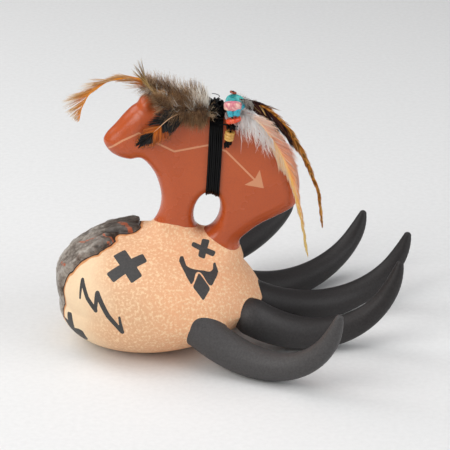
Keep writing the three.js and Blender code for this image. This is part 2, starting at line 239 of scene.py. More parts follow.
class Table:
    """A function of two numbers, worked out once on a fine grid and read off between its points."""

    def __init__(self, function, low, high, step):
        self.low, self.step = np.array(low, float), step
        u = np.arange(low[0], high[0], step)
        v = np.arange(low[1], high[1], step)
        self.values = function(u[:, None], v[None, :])

    def __call__(self, u, v):
        shape = np.array(self.values.shape)
        place = [(u - self.low[0]) / self.step, (v - self.low[1]) / self.step]
        place = [np.clip(p, 0, n - 1.001) for p, n in zip(place, shape)]
        i, j = (np.floor(p).astype(np.int64) for p in place)
        s, t = place[0] - i, place[1] - j
        grid = self.values
        return (
            grid[i, j] * (1 - s) * (1 - t) + grid[i + 1, j] * s * (1 - t)
            + grid[i, j + 1] * (1 - s) * t + grid[i + 1, j + 1] * s * t
        )


def bear_outline(x, z):
    """How far a point of the side view is outside the bear's outline."""
    return polygon_distance(x, z, rounded_loop(BEAR_OUTLINE))


def bear_hole(x, z):
    """How far a point of the side view is inside the oval hole between the legs."""
    cos, sin = math.cos(BEAR_HOLE["lean"]), math.sin(BEAR_HOLE["lean"])
    right, up = x - BEAR_HOLE["x"], z - BEAR_HOLE["z"]
    u = (right * cos + up * sin) / BEAR_HOLE["half_width"]
    v = (up * cos - right * sin) / BEAR_HOLE["half_height"]
    length = np.sqrt(u * u + v * v) + 1e-6
    slope = np.sqrt((u / BEAR_HOLE["half_width"]) ** 2 + (v / BEAR_HOLE["half_height"]) ** 2) + 1e-3
    return -length * (length - 1) / slope


bear_outline_table = Table(bear_outline, (-60, 20), (125, 145), 0.25)


def bear_distance(x, y, z):
    """A slab whose thickness falls to its outline in a quarter of an ellipse, with a thinner muzzle, an ear
    and a smaller rounding at the hole."""
    muzzle = np.clip((MUZZLE["from"] - x) / MUZZLE["length"], 0, 1)
    half = BEAR["half_thickness"] * (1 - MUZZLE["thinner"] * muzzle * muzzle * (3 - 2 * muzzle))
    across = (y - BEAR["middle_y"]) / half
    outer = np.maximum(bear_outline_table(x, z) + BEAR["rounding"], 0) / BEAR["rounding"]
    inner = np.maximum(bear_hole(x, z) + BEAR_HOLE["rounding"], 0) / BEAR_HOLE["rounding"]
    slab = (np.sqrt(np.maximum(outer, inner) ** 2 + across**2) - 1) * BEAR["scale"]
    return join(slab, ellipsoid_distance(x, y, z, *EAR), FILLET["ear"])


def join(a, b, blend):
    """The smaller of two distances, with a fillet about as wide as `blend` where they meet."""
    share = np.maximum(blend - np.abs(a - b), 0) / blend
    return np.minimum(a, b) - share * share * blend / 4


def claw_path(claw):
    """Points along a claw's middle line, a cubic curve in an upright plane, and its radius at each."""
    x, y, heading, reach, tip, lift, first, last = claw
    share = np.linspace(first, last, CLAW_STATIONS)[:, None]
    level = np.array([math.cos(math.radians(heading)), math.sin(math.radians(heading)), 0])
    root = np.array([x, y, 0])
    up = np.array([0, 0, 1])
    knots = [
        root + (CLAW["root"] + CLAW["root_lift"] * lift) * up,
        *(root + out * reach * level + (lift + height) * up for out, height in (CLAW["belly"], CLAW["bend"])),
        root + reach * level + tip * up,
    ]
    weights = [(1 - share) ** 3, 3 * share * (1 - share) ** 2, 3 * share**2 * (1 - share), share**3]
    middle = sum(weight * knot for weight, knot in zip(weights, knots))
    share = np.maximum(share[:, 0], 0)
    near_tip = np.clip((share - CLAW["point_from"]) / (1 - CLAW["point_from"]), 0, 1)
    radius = CLAW["radius"] * (1 - CLAW["taper"] * share ** CLAW["taper_power"])
    return middle, radius * np.sqrt(1 - CLAW["point"] * near_tip**2)


CLAW_PATHS = [claw_path(claw) for claw in CLAWS]


def claws_distance(x, y, z):
    """The distance to the nearest claw: a ball of changing size carried along each middle line."""
    x, y, z = np.broadcast_arrays(x, y, z)
    nearest = np.full(x.shape, FAR)
    for middle, radius in CLAW_PATHS:
        low, high = middle.min(0) - CLAW_NEAR, middle.max(0) + CLAW_NEAR
        near = (x > low[0]) & (x < high[0]) & (y > low[1]) & (y < high[1]) & (z > low[2]) & (z < high[2])
        if not near.any():
            continue
        point = np.stack([x[near], y[near], z[near]], 1)
        best = np.full(len(point), FAR)
        for k in range(len(middle) - 1):
            start, step = middle[k], middle[k + 1] - middle[k]
            along = np.clip((point - start) @ step / (step @ step), 0, 1)
            gap = np.linalg.norm(point - start - along[:, None] * step, axis=1)
            best = np.minimum(best, gap - radius[k] - along * (radius[k + 1] - radius[k]))
        nearest[near] = np.minimum(nearest[near], best)
    return nearest


crust_plan_table = Table(lambda x, y: polygon_distance(x, y, CRUST_EDGE), (-62, -50), (20, 62), 0.5)


def crust_relief(x, y, z):
    """Lumps and torn folds, in millimetres out of the crust's mean surface. The folds run along the crust."""
    x, y, z = np.broadcast_arrays(x, y, z)
    point = np.stack([x.ravel(), y.ravel(), z.ravel()], 1)
    bent = point + CRUST["bent"] * np.stack([noise(point, 5, seed) for seed in (31, 32, 33)], 1)
    lumps = layered_noise(bent * (1, 0.8, 1.2), 6, 3, seed=3)
    folds = 1 - 2 * np.abs(layered_noise(bent * (0.7, 1.5, 1.2), 5, 2, seed=11))
    return (CRUST["lumps"] * lumps + CRUST["folds"] * folds).reshape(x.shape)


def crust_distance(x, y, z, paw):
    """A skin over the paw, inside a ragged line on the plan, with a rounded shoulder at its edge."""
    near = np.abs(paw) < CRUST_NEAR
    x, y, z = np.broadcast_arrays(x, y, z)
    distance = np.full(x.shape, FAR)
    px, py, pz, height = x[near], y[near], z[near], paw[near]
    point = np.stack([px, py, pz], 1)
    ragged = CRUST["torn"] * noise(point, 5, seed=21) + CRUST["nicked"] * noise(point, 2, seed=22)
    plan = crust_plan_table(px, py) + ragged
    bottom = CRUST["bottom"] - pz + CRUST["bottom_torn"] * ragged
    thin = np.clip((pz - CRUST["thin_from"]) / CRUST["thin_over"], CRUST["thinnest"], 1)
    top = height - (CRUST["rise"] + crust_relief(px, py, pz)) * thin
    side = np.maximum(plan, bottom)
    shoulder = CRUST["shoulder"]
    corner = np.sqrt(np.maximum(top + shoulder, 0) ** 2 + np.maximum(side + shoulder, 0) ** 2) - shoulder
    distance[near] = np.maximum(np.maximum(top, side), corner)
    return distance


def clay_parts(x, y, z):
    """Distances to the moulded body, to the claws and to the crust."""
    paw = paw_distance(x, y, z)
    body = join(paw, bear_distance(x, y, z), FILLET["bear"])
    for centre, radii in LEG_MOUNDS:
        body = join(body, ellipsoid_distance(x, y, z, centre, radii), FILLET["mounds"])
    return body, claws_distance(x, y, z), crust_distance(x, y, z, paw)


def clay_distance(x, y, z):
    """The whole piece: the parts joined, and cut off flat at the floor."""
    body, claws, crust = clay_parts(x, y, z)
    whole = join(np.minimum(body, crust), claws, FILLET["claws"])
    return -join(-whole, z, FILLET["floor"])


def field_skin(field, low, high, step, slabs=12):
    """The surface where a field is nought. Each grid cell that the surface crosses gets one point, the mean
    of the crossings on its edges, and each grid edge that it crosses gets one four-sided face, round that
    edge. The field is worked out in slabs, to save memory."""
    axes = [np.arange(a, b, step) for a, b in zip(low, high)]
    values = np.concatenate(
        [field(xs[:, None, None], axes[1][None, :, None], axes[2][None, None, :])
         for xs in np.array_split(axes[0], slabs)]
    )
    inside = values < 0
    cells = tuple(n - 1 for n in values.shape)
    corners = [tuple(slice(c, c + n) for c, n in zip(corner, cells)) for corner in product((0, 1), repeat=3)]
    count = sum(inside[corner].astype(np.int8) for corner in corners)
    crossed = np.nonzero((count > 0) & (count < 8))
    number = np.full(cells, -1)
    number[crossed] = np.arange(len(crossed[0]))
    total = np.zeros((len(crossed[0]), 3))
    hits = np.zeros(len(crossed[0]))
    faces = []
    for axis in range(3):
        others = [a for a in range(3) if a != axis]
        for shift in product((0, 1), repeat=2):
            start = [crossed[0].copy(), crossed[1].copy(), crossed[2].copy()]
            for a, s in zip(others, shift):
                start[a] += s
            end = list(start)
            end[axis] = end[axis] + 1
            first, second = values[tuple(start)], values[tuple(end)]
            cut = (first < 0) != (second < 0)
            where = np.stack(start, 1).astype(float)
            where[cut, axis] += first[cut] / (first[cut] - second[cut])
            total[cut] += where[cut]
            hits += cut
        one, two = others if axis != 1 else others[::-1]
        inner = [slice(1, -1)] * 3
        inner[axis] = slice(0, -1)
        beyond = list(inner)
        beyond[axis] = slice(1, None)
        change = inside[tuple(inner)] != inside[tuple(beyond)]
        at = np.array(np.nonzero(change))
        at[one] += 1
        at[two] += 1
        starts_inside = inside[tuple(at)]
        ring = []
        for du, dv in ((-1, -1), (0, -1), (0, 0), (-1, 0)):
            cell = at.copy()
            cell[one] += du
            cell[two] += dv
            ring.append(number[tuple(cell)])
        ring = np.stack(ring, 1)
        faces.append(np.where(starts_inside[:, None], ring, ring[:, ::-1]))
    points = np.array(low) + step * total / hits[:, None]
    return points, np.concatenate(faces)


def settle(points, faces, field, rounds=3, reach=0.4, probe=0.05, least_slope=0.5):
    """Moves each point half way to the mean of its neighbours, then onto the surface, down the field's slope.
    The last round only moves them onto the surface."""
    start, end = np.concatenate([faces, np.roll(faces, -1, axis=1)]).reshape(2, -1)
    total = len(points)
    count = np.bincount(start, minlength=total) + np.bincount(end, minlength=total)
    for turn in range(rounds):
        if turn < rounds - 1:
            sums = [
                np.bincount(start, along[end], total) + np.bincount(end, along[start], total)
                for along in points.T
            ]
            points = points + 0.5 * (np.stack(sums, 1) / count[:, None] - points)
        for _ in range(2):
            here = field(*points.T)
            slope = np.stack([field(*(points + shift).T) - here for shift in probe * np.eye(3)], 1) / probe
            size = np.maximum((slope**2).sum(1), least_slope**2)
            move = -(here / size)[:, None] * slope
            length = np.linalg.norm(move, axis=1, keepdims=True)
            points = points + move * np.minimum(1, reach / np.maximum(length, 1e-9))
    return points


# Finishes


class Finish:
    """A material, with short ways to add nodes. An input may be a number, a colour or a node's output."""

    def __init__(self, name, **constants):
        self.material = bpy.data.materials.new(name)
        self.material.use_nodes = True
        self.tree = self.material.node_tree
        self.shader = self.tree.nodes["Principled BSDF"]
        for key, value in constants.items():
            self.shader.inputs[key.replace("_", " ")].default_value = value
        self.place = self.add("TexCoord").outputs["Object"]

    def add(self, kind, settings=(), inputs=()):
        node = self.tree.nodes.new("ShaderNode" + kind)
        for key, value in dict(settings).items():
            setattr(node, key, value)
        for key, value in dict(inputs).items():
            self.put(node.inputs[key], value)
        return node

    def put(self, socket, value):
        if isinstance(value, bpy.types.NodeSocket):
            self.tree.links.new(value, socket)
        else:
            socket.default_value = value

    def math(self, operation, *values, clamp=False):
        node = self.add("Math", {"operation": operation, "use_clamp": clamp}, dict(enumerate(values)))
        return node.outputs[0]

    def vector(self, operation, *values):
        node = self.add("VectorMath", {"operation": operation}, dict(enumerate(values)))
        return node.outputs["Value" if operation in ("LENGTH", "DOT_PRODUCT") else "Vector"]

    def scaled(self, *factors):
        """Object coordinates, each times its own factor."""
        return self.vector("MULTIPLY", self.place, factors)

    def noise(self, scale, detail=2.0, roughness=0.5, distortion=0.0, place=None):
        """Noise whose spots are about 1/scale metres across."""
        inputs = {"Vector": place or self.place, "Scale": scale, "Detail": detail}
        inputs |= {"Roughness": roughness, "Distortion": distortion}
        return self.add("TexNoise", inputs=inputs).outputs["Fac"]

    def attribute(self, name):
        return self.add("Attribute", {"attribute_name": name}).outputs["Fac"]

    def between(self, value, low, high, start=0.0, end=1.0, smooth=True):
        """Carries low..high over to start..end."""
        kind = "SMOOTHSTEP" if smooth else "LINEAR"
        inputs = {"Value": value, "From Min": low, "From Max": high, "To Min": start, "To Max": end}
        return self.add("MapRange", {"interpolation_type": kind}, inputs).outputs[0]

    def mix(self, share, first, second):
        """The first colour where the share is 0, the second where it is 1."""
        sockets = {"share": 0, "first": 6, "second": 7, "result": 2}
        inputs = {sockets["share"]: share, sockets["first"]: first, sockets["second"]: second}
        return self.add("Mix", {"data_type": "RGBA"}, inputs).outputs[sockets["result"]]

    def ramp(self, value, stops):
        """A run of colours, each at its own value."""
        node = self.add("ValToRGB", inputs={"Fac": value})
        elements = node.color_ramp.elements
        while len(elements) < len(stops):
            elements.new(0.5)
        for element, (position, colour) in zip(elements, stops):
            element.position = position
            element.color = colour
        return node.outputs["Color"]

    def bump(self, height, distance, strength):
        inputs = {"Height": height, "Distance": distance, "Strength": strength}
        return self.add("Bump", inputs=inputs).outputs["Normal"]

    def finish(self, **inputs):
        """Sets the shader's own inputs and gives the material."""
        for key, value in inputs.items():
            self.put(self.shader.inputs[key.replace("_", " ")], value)
        return self.material


def rgb(red, green, blue):
    """A colour as seen on a screen, 0 to 255, in the linear values that a shader takes."""
    parts = [c / 255 for c in (red, green, blue)]
    return tuple(c / 12.92 if c < 0.04045 else ((c + 0.055) / 1.055) ** 2.4 for c in parts) + (1.0,)


# The clay piece

CLAY_GRID = 0.85
CLAY_BOX = (-54, -64, -1.5), (124, 95, 124)
TO_MILLIMETRES = (1000,) * 3
BORDER = np.array(  # x and z of the line where the bear's red slip ends
    [(-6, 58.5), (-1.4, 60.2), (3, 60.9), (7.8, 60.3), (13.8, 58.6), (18.4, 55.6), (20.2, 55), (22.5, 53.8)]
    + [(24.5, 52.8), (28.4, 50.1), (32.2, 47.8), (34.5, 46.9), (40, 46)]
)

# Each motif lies in a plane that touches the paw: its middle, the plane's two directions, and its reach
BIG_CROSS = ((-14.5, -19.7, 46.6), (0.988, -0.141, 0.069), (0.081, 0.833, 0.548), 14)
SMALL_CROSS = ((19.9, -6.4, 49.6), (0.961, 0.25, -0.118), (-0.052, 0.582, 0.811), 12)
HORNS = ((17.9, -20, 41.7), (0.912, 0.371, -0.174), (-0.196, 0.768, 0.61), 15)
ZIGZAG = ((-26.7, -27.8, 30.6), (0.873, -0.438, 0.214), (-0.076, 0.31, 0.948), 20)
HEEL_CROSS = ((-38.4, -18.4, 15.1), (0.539, -0.756, 0.373), (-0.394, 0.165, 0.904), 12)
BIG_BARS = [
    [(-7, 6.1), (-2.3, 9.4), (7.1, -4.7), (2.8, -8.2)],
    [(-9.2, -3.3), (-5.7, -7.6), (8.6, 3.1), (6.2, 7.2)],
]
SMALL_BARS = [
    [(0, 4.4), (2.9, 3.6), (0.1, -4.9), (-2.6, -3.8)],
    [(-4.7, 2.8), (-5.5, 1.1), (4.3, -3.9), (5.4, -1.8)],
]
HEEL_BARS = [
    [(-5.6, 6.9), (-1.9, 6.5), (-1.4, 3.5), (-2.3, -0.4), (-8, -9), (-7.2, 1)],
    [(-11, 4.4), (-6.2, 3.1), (-2.2, -4), (-8, -9)],
    [(-8, -0.3), (1.4, -0.9), (3.7, -2.4), (3.3, -4.4), (2.1, -7), (-8, -9)],
]
DIAMOND = [(0.5, 1.5), (4.5, -6), (0.6, -11.2), (-3.5, -5.2)]
HORN_TOP = [(-7.5, 8.5), (-6.9, 10), (-5.7, 11.3), (-4.8, 11.2), (-4.7, 6.2), (-3.5, 4.8), (-1.9, 4)]
HORN_TOP += [(0.8, 3.4), (3.2, 3.2), (5.7, 2.7), (7.3, 3.3), (8.4, 4.5), (9.2, 7.3), (9.9, 7.5)]
HORN_TOP += [(10.4, 6.1), (10.9, 3.2)]
HORN_FOOT = [(-7.5, 8.5), (-7.2, 6.3), (-6.4, 2.4), (-5, -2.4), (-4.2, -3.7), (-3.2, -2.8), (0.4, 2.3)]
HORN_FOOT += [(5.4, -4.5), (6.1, -4.1), (7.5, -2.2), (9.5, 0.6), (10.9, 3.2)]
HORN_BOX = -7.5, 10.9, -5, 12  # left, right, bottom and top
ZIGZAG_STROKES = [  # two ends and the half width at each
    ((-11.6, 3.4), (-10.5, 11.5), 0.55, 1),
    ((-10.5, 11.5), (-7, 3.4), 1, 1.1),
    ((-7, 3.4), (-2.9, -2), 1.1, 1.15),
    ((-2.9, -2), (-1.4, 5.6), 0.9, 1.25),
    ((-1.4, 5.6), (3.4, -4.6), 1.25, 1.25),
    ((3.4, -4.6), (8.7, -12.2), 1.25, 1.1),
    ((8.7, -12.2), (9, -5.6), 1, 0.6),
]
CRUST_STREAKS = [  # two ends seen from above and the half width at each
    ((-20.2, 11.7), (-16.9, 6.8), 0.5, 1.2),
    ((-16.9, 6.8), (-13.4, 1.1), 1.2, 0.8),
    ((-14.7, -1), (-10.6, -1), 0.35, 0.3),
    ((-39.2, 4.1), (-34.3, 0.6), 0.3, 0.45),
    ((-34.3, 0.6), (-29.6, 0.4), 0.45, 0.3),
    ((-26.9, 1), (-23.9, -1.8), 0.6, 0.5),
    ((-23.9, -1.8), (-21.5, -4.4), 0.5, 0.4),
    ((-23.7, -6.2), (-21, -5.3), 0.35, 0.3),
    ((-45.7, 0.5), (-43.9, -5.3), 0.4, 0.5),
    ((-46.2, -8.8), (-44.6, -13), 0.4, 0.4),
]
HEARTLINE = [(-22.6, 96.8), (-19.3, 99.4), (-16.3, 101.5), (-8.8, 105.6), (-1, 100.9)]
HEARTLINE += [(7, 96.7), (22.6, 99.8), (30.4, 96.8), (43.6, 82.6)]
HEARTLINE_HALF_WIDTH = 0.42
ARROW_BARBS = [[(45.6, 87.4), (47.4, 78.8), (43.4, 82.9)], [(47.4, 78.8), (39, 80.4), (43.4, 82.9)]]


def flat_place(finish, plane):
    """A point's place in a motif's plane, in millimetres, and a factor that is 1 within its reach."""
    middle, right, up, reach = plane
    offset = finish.vector("SUBTRACT", finish.scaled(*TO_MILLIMETRES), middle)
    u = finish.vector("DOT_PRODUCT", offset, right)
    v = finish.vector("DOT_PRODUCT", offset, up)
    near = finish.math("LESS_THAN", finish.vector("LENGTH", offset), reach)
    return u, v, near


def polygon_share(finish, u, v, corners, softness=1.5, growth=0.25):
    """1 inside a convex polygon with slightly rounded corners: where the greatest of the distances outside
    its sides is less than its growth."""
    corners = np.array(corners, float)
    middle = corners.mean(0)
    outside = None
    for start, end in zip(corners, np.roll(corners, -1, axis=0)):
        away = np.array([(end - start)[1], -(end - start)[0]]) / np.linalg.norm(end - start)
        away = away if away @ (start - middle) > 0 else -away
        side = finish.math("MULTIPLY_ADD", u, away[0], finish.math("MULTIPLY_ADD", v, away[1], -away @ start))
        outside = side if outside is None else finish.math("SMOOTH_MAX", outside, side, softness)
    return finish.math("LESS_THAN", outside, growth)


def curve_value(finish, value, points, low, high, bottom, top):
    """A smooth curve through points, as a function of one value."""
    node = finish.add("FloatCurve", inputs={"Value": finish.between(value, low, high, smooth=False)})
    curve = node.mapping.curves[0]
    while len(curve.points) < len(points):
        curve.points.new(0.5, 0.5)
    for handle, (u, v) in zip(curve.points, points):
        handle.location = ((u - low) / (high - low), (v - bottom) / (top - bottom))
        handle.handle_type = "AUTO_CLAMPED"
    node.mapping.update()
    return finish.math("MULTIPLY_ADD", node.outputs[0], top - bottom, bottom)


def stroke_share(finish, u, v, strokes):
    """1 where a point is within a stroke's half width of the line between its two ends."""
    place = finish.add("CombineXYZ", inputs={"X": u, "Y": v}).outputs[0]
    share = 0.0
    for (u0, v0), (u1, v1), first, last in strokes:
        span = np.array([u1 - u0, v1 - v0, 0])
        offset = finish.vector("SUBTRACT", place, (u0, v0, 0))
        dot = finish.vector("DOT_PRODUCT", offset, span)
        along = finish.math("DIVIDE", dot, float(span @ span), clamp=True)
        spanned = finish.vector("SCALE", tuple(span))
        finish.put(spanned.node.inputs["Scale"], along)
        gap = finish.vector("LENGTH", finish.vector("SUBTRACT", offset, spanned))
        width = finish.math("MULTIPLY_ADD", along, last - first, first)
        share = finish.math("MAXIMUM", share, finish.math("LESS_THAN", gap, width))
    return share


def painted_share(finish):
    """1 on the paw's dark painted motifs: three crosses, a zigzag, and a horned figure over a diamond."""
    total = 0.0
    bars = ((BIG_CROSS, BIG_BARS), (SMALL_CROSS, SMALL_BARS), (HEEL_CROSS, HEEL_BARS), (HORNS, [DIAMOND]))
    for plane, polygons in bars:
        u, v, near = flat_place(finish, plane)
        for corners in polygons:
            share = finish.math("MULTIPLY", near, polygon_share(finish, u, v, corners))
            total = finish.math("MAXIMUM", total, share)
    u, v, near = flat_place(finish, HORNS)
    above = finish.math("GREATER_THAN", v, curve_value(finish, u, HORN_FOOT, *HORN_BOX))
    below = finish.math("LESS_THAN", v, curve_value(finish, u, HORN_TOP, *HORN_BOX))
    horns = finish.math("MULTIPLY", finish.math("MULTIPLY", above, below), near)
    u, v, near = flat_place(finish, ZIGZAG)
    zigzag = finish.math("MULTIPLY", near, stroke_share(finish, u, v, ZIGZAG_STROKES))
    return finish.math("MAXIMUM", total, finish.math("MAXIMUM", horns, zigzag))


def heartline_share(finish):
    """1 on the pale line from the bear's mouth to its heart, and on the two barbs of its arrowhead."""
    x, _, z = finish.add("SeparateXYZ", inputs={0: finish.scaled(*TO_MILLIMETRES)}).outputs
    widths = HEARTLINE_HALF_WIDTH, HEARTLINE_HALF_WIDTH
    strokes = [(start, end, *widths) for start, end in zip(HEARTLINE, HEARTLINE[1:])]
    share = stroke_share(finish, x, z, strokes)
    for corners in ARROW_BARBS:
        share = finish.math("MAXIMUM", share, polygon_share(finish, x, z, corners, 0.3, 0.1))
    return share


def speckled_tan(clay, x, crust):
    """Pale at the heel and browner at the toes, with light speckles and fewer dark ones. It is scorched
    orange beside the crust, and right at the crust's foot a dark line is painted shadow under the crust's
    ledge."""
    blotch = clay.math("MULTIPLY", clay.noise(40, 3), 0.5)
    toes = clay.math("ADD", clay.between(x, -0.045, 0.03, smooth=False), blotch)
    tan = clay.ramp(toes, [(0.2, rgb(247, 226, 190)), (0.6, rgb(223, 176, 137)), (1, rgb(238, 179, 136))])
    speckled = clay.between(toes, 0.25, 0.7, 0.12, 0.62)
    light = clay.between(clay.noise(820, 3, 0.6), 0.46, 0.66)
    tan = clay.mix(clay.math("MULTIPLY", light, speckled), tan, rgb(252, 224, 182))
    dark = clay.between(clay.noise(1300, 2, 0.6), 0.54, 0.68, 0, 0.4)
    tan = clay.mix(clay.math("MULTIPLY", dark, speckled), tan, rgb(206, 140, 102))
    tan = clay.mix(clay.between(crust, -2.3, -1.5, 0, 0.9), tan, rgb(204, 134, 78))
    # Painted shadow: a dark line right at the crust's foot, where its ledge shades the paw
    return clay.mix(clay.between(crust, -0.9, -0.5), tan, rgb(50, 29, 18))


def burnished_red(clay, cloud):
    """The bear's red slip, in two clouded tones, with a fine darker grain."""
    red = clay.ramp(cloud, [(0.3, rgb(178, 77, 34)), (0.7, rgb(193, 90, 42))])
    grain = clay.between(clay.noise(1500, 2), 0.4, 0.75, 0, 0.3)
    return clay.mix(grain, red, rgb(160, 72, 44))


def dark_slip(clay, y):
    """The claws' matte slip, darker on the far claws as painted shade, and the motifs' paint."""
    fine = clay.noise(1100, 3, 0.7)
    near = clay.ramp(fine, [(0.3, rgb(64, 62, 62)), (0.7, rgb(80, 78, 78))])
    # Painted shade: the far claws get darker tones, as if shaded by the paw
    far_painted_shade = clay.ramp(fine, [(0.3, rgb(36, 33, 33)), (0.7, rgb(48, 45, 45))])
    paint = clay.ramp(fine, [(0.3, rgb(58, 57, 57)), (0.7, rgb(72, 70, 69))])
    return clay.mix(clay.between(y, -0.036, -0.008), near, far_painted_shade), paint


def torn_bark(clay, x):
    """The crust: mottled, with black painted shade in its folds and pale grey painted sheen on its lumps,
    darker towards the bear, with thin rusty veins and a few wavering red streaks."""
    mottle = clay.noise(360, 6, 0.7, 0.4)
    # Painted shade and sheen: the relief darkens the folds and lightens the lumps, on top of the mottling
    height = clay.math("MULTIPLY_ADD", clay.attribute("relief"), 0.5, clay.math("MULTIPLY", mottle, 0.75))
    bark_and_painted_shade = clay.ramp(height, [
        (0.33, rgb(26, 20, 17)), (0.5, rgb(76, 67, 59)),
        (0.64, rgb(122, 112, 103)), (0.84, rgb(176, 168, 158)),
    ])
    bark_and_painted_shade = clay.mix(clay.between(x, -0.036, -0.016, 0, 0.72), bark_and_painted_shade, rgb(38, 28, 23))
    middle = clay.math("ABSOLUTE", clay.math("SUBTRACT", clay.noise(120, 2, 0.5, 1.2), 0.5))
    patch = clay.between(clay.noise(60, 1), 0.5, 0.62)
    vein = clay.math("MULTIPLY", clay.between(middle, 0, 0.012, 1, 0), patch)
    bark_and_painted_shade = clay.mix(clay.math("MULTIPLY", vein, 0.35), bark_and_painted_shade, rgb(132, 70, 46))
    swirl = clay.add("TexNoise", inputs={"Vector": clay.place, "Scale": 260, "Detail": 3}).outputs["Color"]
    waver = clay.vector("MULTIPLY", clay.vector("SUBTRACT", swirl, (0.5,) * 3), (3,) * 3)
    bent = clay.vector("ADD", clay.scaled(*TO_MILLIMETRES), waver)
    u, v, _ = clay.add("SeparateXYZ", inputs={0: bent}).outputs
    worn = clay.between(mottle, 0.36, 0.56, 0, 0.9)
    streak = clay.math("MULTIPLY", stroke_share(clay, u, v, CRUST_STREAKS), worn)
    return clay.mix(streak, bark_and_painted_shade, rgb(172, 88, 54))


def fired_clay():
    """Speckled tan paw, burnished red bear, matte dark claws, torn dark crust and painted motifs."""
    clay = Finish("fired_clay", Specular_IOR_Level=0.45)
    x, y, _ = clay.add("SeparateXYZ", inputs={0: clay.place}).outputs
    crust = clay.attribute("crust")
    cloud = clay.noise(30, 4, 0.6)
    dark, paint = dark_slip(clay, y)
    on_bear = clay.math("GREATER_THAN", clay.attribute("bear"), 0.0)
    on_claw = clay.math("GREATER_THAN", clay.attribute("claw"), 0.0)
    on_crust = clay.math("GREATER_THAN", crust, 0.0)

    colour = clay.mix(painted_share(clay), speckled_tan(clay, x, crust), paint)
    bear = clay.mix(heartline_share(clay), burnished_red(clay, cloud), rgb(214, 146, 106))
    colour = clay.mix(on_bear, colour, bear)
    colour = clay.mix(on_crust, colour, torn_bark(clay, x))
    colour = clay.mix(on_claw, colour, dark)

    shine = clay.mix(on_bear, (0.55,) * 4, (0.26,) * 4)
    shine = clay.mix(on_crust, shine, (0.36,) * 4)
    shine = clay.mix(on_claw, shine, (0.5,) * 4)
    clouded = clay.between(cloud, 0.3, 0.7, -0.03, 0.05)
    rough = clay.math("ADD", clay.add("RGBToBW", inputs={0: shine}).outputs[0], clouded)
    wrinkles = clay.math("MULTIPLY", on_crust, clay.noise(330, 5, 0.7))
    normal = clay.bump(clay.math("ADD", clay.noise(700, 4, 0.6), wrinkles), 0.0002, 0.25)
    clay.put(clay.shader.inputs["Specular IOR Level"], clay.math("MULTIPLY_ADD", on_bear, 0.16, 0.3))
    return clay.finish(Base_Color=colour, Roughness=rough, Normal=normal)


def make_clay():
    """The clay's surface, with each point's distance past the edges between its colours."""
    points, faces = field_skin(clay_distance, *CLAY_BOX, CLAY_GRID)
    points = settle(points, faces, clay_distance)
    x, y, z = points.T
    body, claws, crust = clay_parts(x, y, z)
    above = z - np.interp(x, *BORDER.T)
    # The crust's relief height, which the crust's colour reads for painted shade in folds and painted sheen
    # on lumps
    relief = 0.5 + 0.35 * crust_relief(x, y, z)
    make_piece(
        "clay_bear_and_paw", points, [faces], fired_clay(), "clay", ["clay_bear_on_paw"],
        claw=np.minimum(body, crust) - claws, crust=body - crust, bear=above, relief=relief,
    )


make_clay()


# Threads, tubes and turned shapes


def curve_through(points, count):
    """Evenly numbered points of a smooth cubic curve through the given points."""
    points = np.asarray(points, float)
    held = np.vstack([2 * points[0] - points[1], points, 2 * points[-1] - points[-2]])
    place = np.linspace(0, len(points) - 1, count)
    k = np.minimum(place.astype(int), len(points) - 2)
    t = (place - k)[:, None]
    a, b, c, d = held[k], held[k + 1], held[k + 2], held[k + 3]
    return 0.5 * (2 * b + (c - a) * t + (2 * a - 5 * b + 4 * c - d) * t * t + (3 * b - a - 3 * c + d) * t**3)


def unit(vectors):
    return vectors / np.linalg.norm(vectors, axis=-1, keepdims=True)


def path_frames(path, facing):
    """At each point of a path: the unit direction of travel, a side direction and one near `facing`,
    carried along without twisting."""
    travel = unit(np.gradient(path, axis=0))
    raised = np.empty_like(travel)
    last = np.asarray(facing, float)
    for k, step in enumerate(travel):
        last = last - step * (last @ step)
        last = last / np.linalg.norm(last)
        raised[k] = last
    return travel, np.cross(travel, raised), raised


class Pile:
    """Closed shapes gathered into one mesh."""

    def __init__(self):
        self.points, self.quads, self.triangles, self.values, self.count = [], [], [], {}, 0

    def add(self, points, quads, triangles, **values):
        self.points.append(points)
        self.quads.append(quads + self.count)
        self.triangles.append(triangles + self.count)
        for key, value in values.items():
            self.values.setdefault(key, []).append(np.broadcast_to(value, len(points)))
        self.count += len(points)

    def piece(self, name, finish, slot, replaces):
        faces = [np.concatenate(rows) for rows in (self.quads, self.triangles) if sum(map(len, rows))]
        values = {key: np.concatenate(parts) for key, parts in self.values.items()}
        make_piece(name, np.concatenate(self.points), faces, finish, slot, replaces, **values)


def tube(path, radius, sides=8, facing=(0, -1, 0)):
    """A circle carried along a path and closed by a point at each end. Its radius is one number, or one for
    each point of the path."""
    path = np.asarray(path, float)
    _, side, raised = path_frames(path, facing)
    angle = np.arange(sides) * TAU / sides
    radius = np.broadcast_to(radius, len(path))[:, None, None]
    ring = path[:, None] + radius * (
        np.cos(angle)[None, :, None] * raised[:, None] + np.sin(angle)[None, :, None] * side[:, None]
    )
    points = np.vstack([ring.reshape(-1, 3), path[:1], path[-1:]])
    rows, columns = np.arange(len(path) - 1)[:, None] * sides, np.arange(sides)
    following = (columns + 1) % sides
    quads = np.stack(
        [rows + columns, rows + following, rows + sides + following, rows + sides + columns], -1
    ).reshape(-1, 4)
    first, last = len(points) - 2, len(points) - 1
    end = (len(path) - 1) * sides
    triangles = np.concatenate([
        np.stack([np.full(sides, first), following, columns], 1),
        np.stack([np.full(sides, last), end + columns, end + following], 1),
    ])
    return points, quads, triangles


